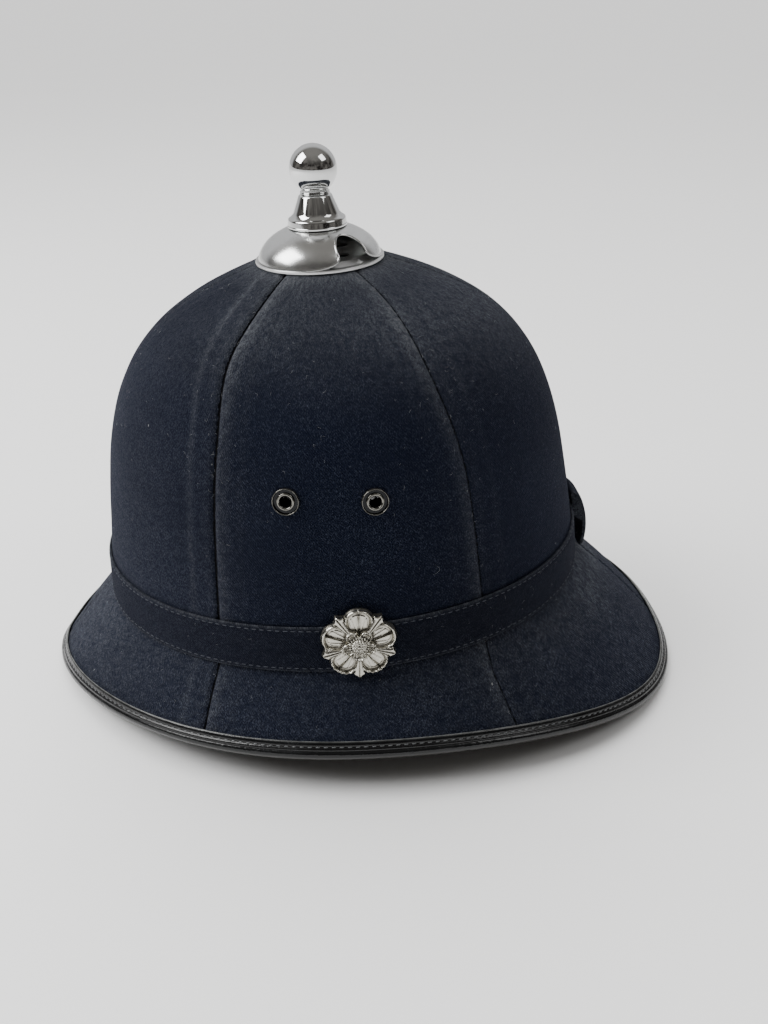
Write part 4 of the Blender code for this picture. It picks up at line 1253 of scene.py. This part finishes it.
class HELMET_OT_mount(Operator):
    """Builds the plate, the notched dome and the ball finial"""

    bl_idname = "helmet.mount"
    bl_label = "Metal mount"

    def execute(self, context):
        chrome = chrome_material("mount_chrome", context.scene.helmet_metal.chrome_colour, 0.045, 0.13)
        self.make_plate(context)
        self.make_dome(context, chrome)
        self.make_finial(chrome)
        return {"FINISHED"}

    @staticmethod
    def make_plate(context):
        top = FIT_GAP + PLATE_EDGE_HEIGHT
        middle = HOLE_HEIGHT - MOUNT_HEIGHT + FIT_GAP
        seat = PLATE_RADIUS - 0.0025
        hole = POST_RADIUS + FIT_GAP
        outer = rounded([
            (hole, middle + 0.0010), (CROWN_HOLE_RADIUS, middle + 0.0010), (seat, top),
            (PLATE_RADIUS, top), (PLATE_RADIUS, FIT_GAP), (CROWN_HOLE_RADIUS, middle), (hole, middle),
        ], 0.00045)
        plate = turned("plate", outer, 96, closed=True)
        plate.data.transform(MOUNT_FRAME)
        rods = []
        for count in range(4):
            turn = math.tau * (count + 0.5) / 4
            spot = (AIR_HOLE_REACH * math.cos(turn), AIR_HOLE_REACH * math.sin(turn), middle)
            rods.append(cutter_rod(AIR_HOLE_RADIUS, 0.006, MOUNT_FRAME @ Matrix.Translation(spot)))
        cut(plate, *rods)
        drop(*rods)
        dull = chrome_material("plate_chrome", context.scene.helmet_metal.chrome_colour, 0.30, 0.46)
        finish_piece(plate, "chromed_metal", dull, "mount_plate")

    def make_dome(self, context, chrome):
        foot = FIT_GAP * 2 + PLATE_EDGE_HEIGHT
        shoulder = math.acos(COLLAR_RADIUS / DOME_RADIUS)
        start = math.asin(foot / DOME_RISE)
        turns = np.linspace(shoulder, start, 22)
        hole = POST_RADIUS + FIT_GAP
        top = DOME_RISE * math.sqrt(1 - (COLLAR_RADIUS / DOME_RADIUS) ** 2)
        outer = [(DOME_RADIUS * math.cos(turn), DOME_RISE * math.sin(turn)) for turn in turns]
        inner = [((DOME_RADIUS - DOME_WALL) * math.cos(turn), (DOME_RISE - DOME_WALL) * math.sin(turn))
                 for turn in turns]
        inner[-1] = (inner[-1][0], foot)
        inner.reverse()
        profile = [(hole, top)] + outer + inner + [(hole, inner[-1][1])]
        dome = turned("dome", profile, 128, closed=True)
        dome.data.transform(MOUNT_FRAME)
        cutter = self.notch_cutter()
        cut(dome, cutter)
        drop(cutter)
        satin = chrome_material("dome_chrome", context.scene.helmet_metal.chrome_colour, 0.18, 0.30)
        finish_piece(dome, "chromed_metal", satin, "vent_dome", angle=35)
        radius = context.scene.helmet_metal.lip_radius
        for number, way in ((1, 1.0), (2, -1.0)):
            lip = self.notch_lip("notch_lip_%d" % number, way, radius)
            finish_piece(lip, "chromed_metal", chrome)

    @staticmethod
    def notch_outline(steps=20):
        foot = FIT_GAP * 2 + PLATE_EDGE_HEIGHT - 0.0002
        spring = PLATE_EDGE_HEIGHT + NOTCH_FLARE_HEIGHT
        turns = np.linspace(0, math.pi / 2, 18)
        bend = [(NOTCH_HALF_WIDTH + NOTCH_FLARE_WIDTH * 1.3 * (1 - math.sin(turn)),
                 foot + (spring - foot) * (1 - math.cos(turn))) for turn in turns]
        arch = [(NOTCH_HALF_WIDTH * math.cos(turn), spring + (NOTCH_HEIGHT - spring) * math.sin(turn))
                for turn in np.linspace(0, math.pi, steps)[1:-1]]
        return bend + arch + [(-x, y) for x, y in reversed(bend)]

    def notch_cutter(self):
        """The notch's outline drawn through the dome from side to side."""
        edge = self.notch_outline()
        low = -NOTCH_FLARE_HEIGHT
        edge = [(edge[0][0], low)] + edge + [(edge[-1][0], low)]
        bm = bmesh.new()
        verts = [bm.verts.new((x, y, -DOME_RADIUS * 1.2)) for x, y in edge]
        face = bm.faces.new(verts)
        moved = bmesh.ops.extrude_face_region(bm, geom=[face])["geom"]
        lifted = [item for item in moved if isinstance(item, bmesh.types.BMVert)]
        bmesh.ops.translate(bm, verts=lifted, vec=(0, 0, DOME_RADIUS * 2.4))
        bmesh.ops.remove_doubles(bm, verts=bm.verts, dist=1e-6)
        bmesh.ops.recalc_face_normals(bm, faces=bm.faces)
        mesh = bpy.data.meshes.new("notch_cutter")
        bm.to_mesh(mesh)
        bm.free()
        stand = Matrix.Rotation(NOTCH_TURN + math.pi / 2, 4, "Z") @ Matrix.Rotation(math.pi / 2, 4, "X")
        mesh.transform(MOUNT_FRAME @ stand)
        return linked("notch_cutter", mesh)

    def notch_lip(self, name, way, radius):
        """A thin rolled lip that follows the notch's edge over the dome."""
        foot = FIT_GAP * 2 + PLATE_EDGE_HEIGHT
        ahead = Vector((math.cos(NOTCH_TURN), math.sin(NOTCH_TURN), 0)) * way
        beside = Vector((0, 0, 1)).cross(ahead)
        path = []
        for x, y in self.notch_outline(26):
            if y < foot - radius * 0.5:
                continue
            round_radius = DOME_RADIUS * math.sqrt(1 - (y / DOME_RISE) ** 2)
            if abs(x) >= round_radius:
                continue
            reach = math.sqrt(round_radius ** 2 - x ** 2)
            path.append(ahead * reach + beside * x + Vector((0, 0, y)))
        curve = bpy.data.curves.new(name, "CURVE")
        curve.dimensions = "3D"
        curve.bevel_depth = radius
        curve.bevel_resolution = 4
        curve.use_fill_caps = True
        spline = curve.splines.new("POLY")
        spline.points.add(len(path) - 1)
        for target, place in zip(spline.points, path):
            target.co = (*place, 1)
        only(linked(name, curve))
        bpy.ops.object.convert(target="MESH")
        lip = bpy.context.object
        lip.data.transform(MOUNT_FRAME)
        outward(lip)
        return lip

    def make_finial(self, chrome):
        foot = DOME_RISE * math.sqrt(1 - (COLLAR_RADIUS / DOME_RADIUS) ** 2) + FIT_GAP
        collar_top = foot + COLLAR_HEIGHT
        cone_foot = collar_top + COLLAR_HEIGHT * 0.25
        cone_top = cone_foot + CONE_HEIGHT
        neck_top = cone_top + NECK_HEIGHT
        join = math.acos(NECK_RADIUS / BALL_RADIUS)
        centre = neck_top + BALL_RADIUS * math.sin(join)
        ball = [(BALL_RADIUS * math.cos(turn), centre + BALL_RADIUS * math.sin(turn))
                for turn in np.linspace(math.pi / 2, -join, 34)]
        ball[0] = (0, centre + BALL_RADIUS)
        rings = []
        for count in range(2):
            middle = neck_top - NECK_HEIGHT * (0.30 + 0.40 * count)
            reach = NECK_HEIGHT * 0.20
            for turn in np.linspace(math.pi * 0.5, -math.pi * 0.5, 9):
                rings.append((NECK_RADIUS + 0.0009 * math.cos(turn), middle + reach * math.sin(turn)))
        lower = rounded([
            rings[-1], (NECK_RADIUS * 0.98, cone_top + 0.00005), (CONE_TOP_RADIUS, cone_top - 0.0003),
            (CONE_FOOT_RADIUS * 0.985, cone_foot + 0.0008), (CONE_FOOT_RADIUS * 1.02, cone_foot + 0.0001),
            (COLLAR_RADIUS * 0.86, collar_top + 0.0002), (COLLAR_RADIUS * 0.965, collar_top - 0.0007),
            (COLLAR_RADIUS * 0.985, foot + 0.0010), (COLLAR_RADIUS, foot + 0.0008), (COLLAR_RADIUS, foot),
            (POST_RADIUS, foot),
        ], 0.0006)[1:]
        bottom = HOLE_HEIGHT - MOUNT_HEIGHT - 0.0060
        post = rounded([(POST_RADIUS, foot), (POST_RADIUS, bottom), (0, bottom)], 0.0006)[1:]
        finial = turned("finial", ball + rings + lower + post, 96)
        finial.data.transform(MOUNT_FRAME)
        finish_piece(finial, "chromed_metal", chrome, "ball_finial", angle=32)


class HELMET_OT_eyelets(Operator):
    """Builds one vent eyelet and copies it to its four places"""

    bl_idname = "helmet.eyelets"
    bl_label = "Vent eyelets"

    def execute(self, context):
        tube = EYELET_BORE_RADIUS + EYELET_TUBE_WALL
        inside = -(WALL_TOTAL + FIT_GAP * 2)
        flange_middle = FLANGE_RADIUS - FLANGE_HALF
        lip_middle = (EYELET_BORE_RADIUS + tube + BORE_LIP) / 2
        lip_half = (tube + BORE_LIP - EYELET_BORE_RADIUS) / 2
        lip = [(lip_middle - lip_half * math.cos(turn), 0.0009 + lip_half * 0.9 * math.sin(turn))
               for turn in np.linspace(0, math.pi, 10)]
        flange = [(flange_middle - FLANGE_HALF * math.cos(turn), 0.0006 + 0.00095 * math.sin(turn))
                  for turn in np.linspace(0, math.pi, 16)]
        channel = [(tube + 0.0007, 0.0004), (flange_middle - FLANGE_HALF, 0.0004)]
        tail = inside - 0.0006
        # The bore narrows to half its radius at the tube's inner end: a dark funnel that stands in for the
        # shade inside the helmet, so the hole reads dark
        profile = [(EYELET_BORE_RADIUS, -0.0020)] + lip + channel + flange + [
            (FLANGE_RADIUS, FIT_GAP), (tube, FIT_GAP), (tube, inside), (EYELET_RADIUS * 0.8, inside),
            (EYELET_RADIUS * 0.8, tail), (tube, tail), (tube, tail - TUBE_TAIL),
            (EYELET_BORE_RADIUS / 2, tail - TUBE_TAIL),
        ]
        first = turned("eyelet_model", profile, 56, closed=True)
        reach = np.array([math.hypot(vert.co.x, vert.co.y) for vert in first.data.vertices])
        height = np.array([vert.co.z for vert in first.data.vertices])
        ring = np.clip((tube + 0.0007 - reach) / 0.0002, 0, 1) * np.clip((height + 0.0010) / 0.0008, 0, 1)
        ridge = np.clip((reach - flange_middle + FLANGE_HALF) / 0.0002, 0, 1) * 0.6
        set_attribute(first, "bore", np.maximum(ring, ridge))
        material = eyelet_material(context.scene.helmet_metal)
        for side, name, matrix in eyelet_places():
            node = "eyelet_%s_%s" % (side, name)
            piece = linked("vent_" + node, first.data.copy())
            piece.data.transform(matrix)
            finish_piece(piece, "black_enamel", material, node)
        drop(first)
        return {"FINISHED"}


class HELMET_OT_roses(Operator):
    """Builds one metal rose in relief and copies it to both sides of the band"""

    bl_idname = "helmet.roses"
    bl_label = "Metal roses"

    # Rings of beads at the middle: distance out, number and size, as shares of the rose's radius
    BEADS = ((0.0, 1, 0.045), (0.085, 7, 0.034), (0.155, 13, 0.032), (0.235, 20, 0.030))

    def execute(self, context):
        columns, rows = 320, 66
        theta = np.linspace(0, 2 * math.pi, columns, endpoint=False)
        share = 1 - (1 - np.linspace(0.0, 1.0, rows)) ** 1.25
        angle, reach = np.meshgrid(theta, share)
        radius = reach * self.outline(theta)
        x, y = radius * np.cos(angle), radius * np.sin(angle)
        height = self.relief(x, y)
        edge = np.clip((1 - reach) / 0.035, 0, 1)
        height = 0.10 + (height - 0.10) * (0.35 + 0.65 * np.sqrt(edge))
        hollow = self.hollows(height)
        front = np.stack([x * ROSETTE_RADIUS, y * ROSETTE_RADIUS, height * ROSETTE_DEPTH], axis=-1)
        rim = front[-1].copy()
        rim[:, 2] = 0.0003
        back = rim * (0.9, 0.9, 0)
        stud = WALL_TOTAL + BAND_STAND + FIT_GAP * 3
        circle = np.stack([np.cos(theta), np.sin(theta), 0 * theta], axis=-1) * ROSETTE_STUD_RADIUS
        rings = [front, rim[None], back[None], circle[None], (circle - (0, 0, stud))[None],
                 (circle * 0.001 - (0, 0, stud))[None]]
        rose = grid_object("rose_model", np.concatenate(rings, axis=0), closed=True)
        set_attribute(rose, "hollow", np.concatenate([hollow, np.full((5, columns), 0.3)], axis=0))
        outward(rose, 4e-6)
        material = rose_material(context.scene.helmet_metal)
        for side, matrix in rosette_places():
            piece = linked("rose_" + side, rose.data.copy())
            piece.data.transform(matrix)
            finish_piece(piece, "chromed_metal", material, "rosette_" + side, angle=60)
        drop(rose)
        return {"FINISHED"}

    @staticmethod
    def along_and_across(x, y, middle):
        """Places measured along and across the line from the rose's middle at an angle."""
        return x * math.cos(middle) + y * math.sin(middle), y * math.cos(middle) - x * math.sin(middle)

    @staticmethod
    def petal_depth(along, across, centre, half_length, half_width):
        """How far inside a rounded petal a place lies, as a share of its half width."""
        reach = ((along - centre) / half_length) ** 2
        wide = half_width * (0.80 + 0.20 * np.clip((along - centre) / half_length + 0.6, 0, 1))
        return 1 - np.sqrt(reach + np.abs(across / wide) ** 2.3)

    @staticmethod
    def leaf_half_width(along):
        """Half width of a leaf between two petals, with barbs just before its tip."""
        body = np.interp(along, (0.38, 0.60, 0.80, 0.87, 0.91, 0.955, 1.0),
                         (0.03, 0.085, 0.12, 0.17, 0.085, 0.06, 0.0))
        return np.where((along > 0.38) & (along < 1.0), body, 0.0)

    def outline(self, theta):
        """The farthest reach of a petal or leaf in each direction."""
        reach = np.linspace(0.3, 1.0, 281)[:, None]
        x, y = reach * np.cos(theta), reach * np.sin(theta)
        inside = np.hypot(x, y) < 0.62
        for count in range(5):
            along, across = self.along_and_across(x, y, math.pi / 2 + math.tau * count / 5)
            inside |= (self.petal_depth(along, across, 0.60, 0.385, 0.400) > 0) & (along > 0)
            along, across = self.along_and_across(x, y, -math.pi / 2 + math.tau * count / 5)
            inside |= np.abs(across) < self.leaf_half_width(along)
        farthest = np.where(inside, reach, 0).max(axis=0)
        return (np.roll(farthest, 1) + farthest * 2 + np.roll(farthest, -1)) / 4

    def relief(self, x, y):
        """Height of the rose's face, as a share of its depth."""
        r = np.hypot(x, y)
        height = 0.20 + 0.24 * (1 - r)
        for count in range(5):
            along, across = self.along_and_across(x, y, math.pi / 2 + math.tau * count / 5)
            depth = self.petal_depth(along, across, 0.60, 0.385, 0.400)
            outer = np.clip((along - 0.45) / 0.25, 0, 1)
            fan = np.arctan2(across, along - 0.12)
            petal = 0.25 + 0.20 * (1 - r)
            petal += 0.26 * np.exp(-((depth - 0.15) / 0.11) ** 2) * (0.35 + 0.65 * outer)
            petal -= 0.14 * np.exp(-((depth - 0.36) / 0.07) ** 2) * outer
            petal -= 0.035 * np.exp(-(np.sin(fan * 11) / 0.28) ** 2) * np.clip(depth / 0.3, 0, 1)
            petal += 0.045 * np.cos(fan * 44) * np.exp(-((depth - 0.13) / 0.07) ** 2) * (y < 0.1)
            petal += 0.07 * np.exp(-(np.abs(fan) / 0.07) ** 2) * np.clip((0.75 - along) / 0.2, 0, 1)
            height = np.where((depth > 0) & (along > 0), np.maximum(height, petal), height)
        for count in range(5):
            along, across = self.along_and_across(x, y, -math.pi / 2 + math.tau * count / 5)
            half = np.maximum(self.leaf_half_width(along), 1e-4)
            share = np.abs(across) / half
            leaf = 0.40 + 0.24 * (1 - r) + 0.18 * np.sqrt(np.clip(1 - share ** 2, 0, 1))
            leaf -= 0.08 * np.exp(-(across / 0.016) ** 2)
            height = np.where(share < 1, np.maximum(height, leaf), height)
        for count in range(5):
            along, across = self.along_and_across(x, y, -math.pi / 2 + math.tau * count / 5)
            depth = self.petal_depth(along, across, 0.27, 0.185, 0.185)
            petal = 0.60 + 0.18 * np.exp(-((depth - 0.22) / 0.16) ** 2) + 0.03 * np.cos(across * 90)
            height = np.where((depth > 0) & (along > 0), np.maximum(height, petal), height)
        boss = 0.70 + 0.24 * np.sqrt(np.clip(1 - (r / 0.205) ** 2, 0, 1))
        height = np.where(r < 0.205, np.maximum(height, boss), height)
        for ring, beads, size in self.BEADS:
            for count in range(beads):
                turn = math.tau * count / beads
                away = np.hypot(x - ring * math.cos(turn), y - ring * math.sin(turn)) / size
                seat = 0.70 + 0.22 * math.sqrt(max(0, 1 - (ring / 0.205) ** 2))
                bead = seat + 0.10 * np.sqrt(np.clip(1 - away ** 2, 0, 1))
                height = np.where(away < 1, np.maximum(height, bead), height)
        return height

    @staticmethod
    def hollows(height):
        """Where the face lies lower than the relief round it."""
        smooth = height.copy()
        for _ in range(14):
            padded = np.concatenate([smooth[:1], smooth, smooth[-1:]], axis=0)
            smooth = (np.roll(smooth, 1, axis=1) + np.roll(smooth, -1, axis=1) + padded[:-2] + padded[2:]) / 4
        return np.clip((smooth - height) / 0.070, 0, 1)


class HELMET_OT_stage(Operator):
    """Sets up the camera, the floor and the soft studio light"""

    bl_idname = "helmet.stage"
    bl_label = "Stage"

    def execute(self, context):
        settings = context.scene.helmet_stage
        self.make_camera(context)
        bpy.ops.object.select_all(action="DESELECT")
        bpy.ops.mesh.primitive_plane_add(size=240, location=(0, 0, -0.0002))
        floor = context.object
        floor.name = "floor"
        floor.data.materials.append(plain_material("pale_floor", settings.floor_colour, 0.9))
        self.make_world(context, settings)
        self.make_light("key_light", (0.12, -1.25, 1.30), (0, 0, 0.12), 1.0, settings.key_power)
        self.make_light("fill_light", (0.42, 1.00, 1.45), (0, 0, 0.12), 0.7, settings.key_power * 0.15)
        self.make_sun("overhead_light", (-0.55, -0.20, 1.0), settings.overhead_strength)
        return {"FINISHED"}

    @staticmethod
    def make_camera(context):
        """The photograph's view, from the wearer's left and a little above."""
        data = bpy.data.cameras.new("camera")
        data.lens = 33.68
        data.sensor_width = 36
        data.clip_start = 0.01
        data.dof.use_dof = False
        camera = linked("camera", data)
        yaw, pitch, roll = 0.0842, 0.4985, 0.0021
        ahead = Vector((-math.cos(yaw) * math.cos(pitch), math.sin(yaw) * math.cos(pitch), -math.sin(pitch)))
        right = ahead.cross(Vector((0, 0, 1))).normalized()
        up = right.cross(ahead)
        turned_right = right * math.cos(roll) + up * math.sin(roll)
        turned_up = up * math.cos(roll) - right * math.sin(roll)
        turn = Matrix((turned_right, turned_up, -ahead)).transposed().to_4x4()
        camera.matrix_world = Matrix.Translation((0.42539, -0.02566, 0.30346)) @ turn
        context.scene.camera = camera

    @staticmethod
    def make_world(context, settings):
        """A pale wall behind the helmet and a dim room on the viewer's side, seen in reflections alone."""
        world = bpy.data.worlds.new("room")
        world.use_nodes = True
        context.scene.world = world
        tree = world.node_tree
        background = tree.nodes["Background"]
        place = add_node(tree, "ShaderNodeTexCoord").outputs["Generated"]
        clutter = noise(tree, place, 3.2, detail=4.0, roughness=0.6)
        parted = add_node(tree, "ShaderNodeSeparateXYZ", {0: place})
        along, high = parted.outputs["X"], parted.outputs["Z"]
        low_room = mixed(tree, ranged(tree, clutter, 0.42, 0.60),
                         (0.020, 0.018, 0.017), (0.17, 0.16, 0.15))
        room = mixed(tree, ranged(tree, high, 0.40, 0.95), low_room, (0.26, 0.25, 0.235))
        wall = mixed(tree, ranged(tree, high, 0.0, 0.55), (0.62, 0.62, 0.63), (0.74, 0.74, 0.75))
        around = mixed(tree, ranged(tree, along, -0.62, -0.38), wall, room)
        seen = add_node(tree, "ShaderNodeLightPath").outputs["Is Camera Ray"]
        tree.links.new(mixed(tree, seen, around, wall), background.inputs["Color"])
        background.inputs["Strength"].default_value = settings.world_strength

    @staticmethod
    def make_light(name, place, target, size, power):
        data = bpy.data.lights.new(name, "AREA")
        data.shape = "SQUARE"
        data.size = size
        data.energy = power
        light = linked(name, data)
        light.location = place
        aim = Vector(target) - Vector(place)
        light.rotation_euler = aim.to_track_quat("-Z", "Y").to_euler()

    @staticmethod
    def make_sun(name, toward, strength):
        """An even light from overhead, so soft that its shadow has no edge."""
        data = bpy.data.lights.new(name, "SUN")
        data.energy = strength
        data.angle = math.radians(75)
        light = linked(name, data)
        light.rotation_euler = Vector(toward).to_track_quat("Z", "Y").to_euler()
        light.visible_glossy = False


class HELMET_PT_tools(Panel):
    """Lists the helmet's pieces and their sizes"""

    bl_idname = "HELMET_PT_tools"
    bl_label = "Custodian helmet"
    bl_space_type = "VIEW_3D"
    bl_region_type = "UI"
    bl_category = "Helmet"

    def draw(self, context):
        for operator in OPERATORS:
            self.layout.operator(operator.bl_idname)
        for group in (context.scene.helmet_cloth, context.scene.helmet_leather,
                      context.scene.helmet_metal, context.scene.helmet_stage):
            box = self.layout.box()
            for key in group.bl_rna.properties.keys():
                if key not in ("rna_type", "name"):
                    box.prop(group, key)


GROUPS = {
    "helmet_cloth": HelmetCloth,
    "helmet_leather": HelmetLeather,
    "helmet_metal": HelmetMetal,
    "helmet_stage": HelmetStage,
}
OPERATORS = (
    HELMET_OT_stage,
    HELMET_OT_body,
    HELMET_OT_panels,
    HELMET_OT_band,
    HELMET_OT_keeper,
    HELMET_OT_edging,
    HELMET_OT_lint,
    HELMET_OT_mount,
    HELMET_OT_eyelets,
    HELMET_OT_roses,
)


def register():
    for name, group in GROUPS.items():
        bpy.utils.register_class(group)
        setattr(bpy.types.Scene, name, PointerProperty(type=group))
    for operator in OPERATORS:
        bpy.utils.register_class(operator)
    bpy.utils.register_class(HELMET_PT_tools)


def unregister():
    bpy.utils.unregister_class(HELMET_PT_tools)
    for operator in reversed(OPERATORS):
        bpy.utils.unregister_class(operator)
    for name, group in reversed(GROUPS.items()):
        delattr(bpy.types.Scene, name)
        bpy.utils.unregister_class(group)


def main():
    register()
    for operator in OPERATORS:
        area, name = operator.bl_idname.split(".")
        getattr(getattr(bpy.ops, area), name)()


if __name__ == "__main__":
    main()
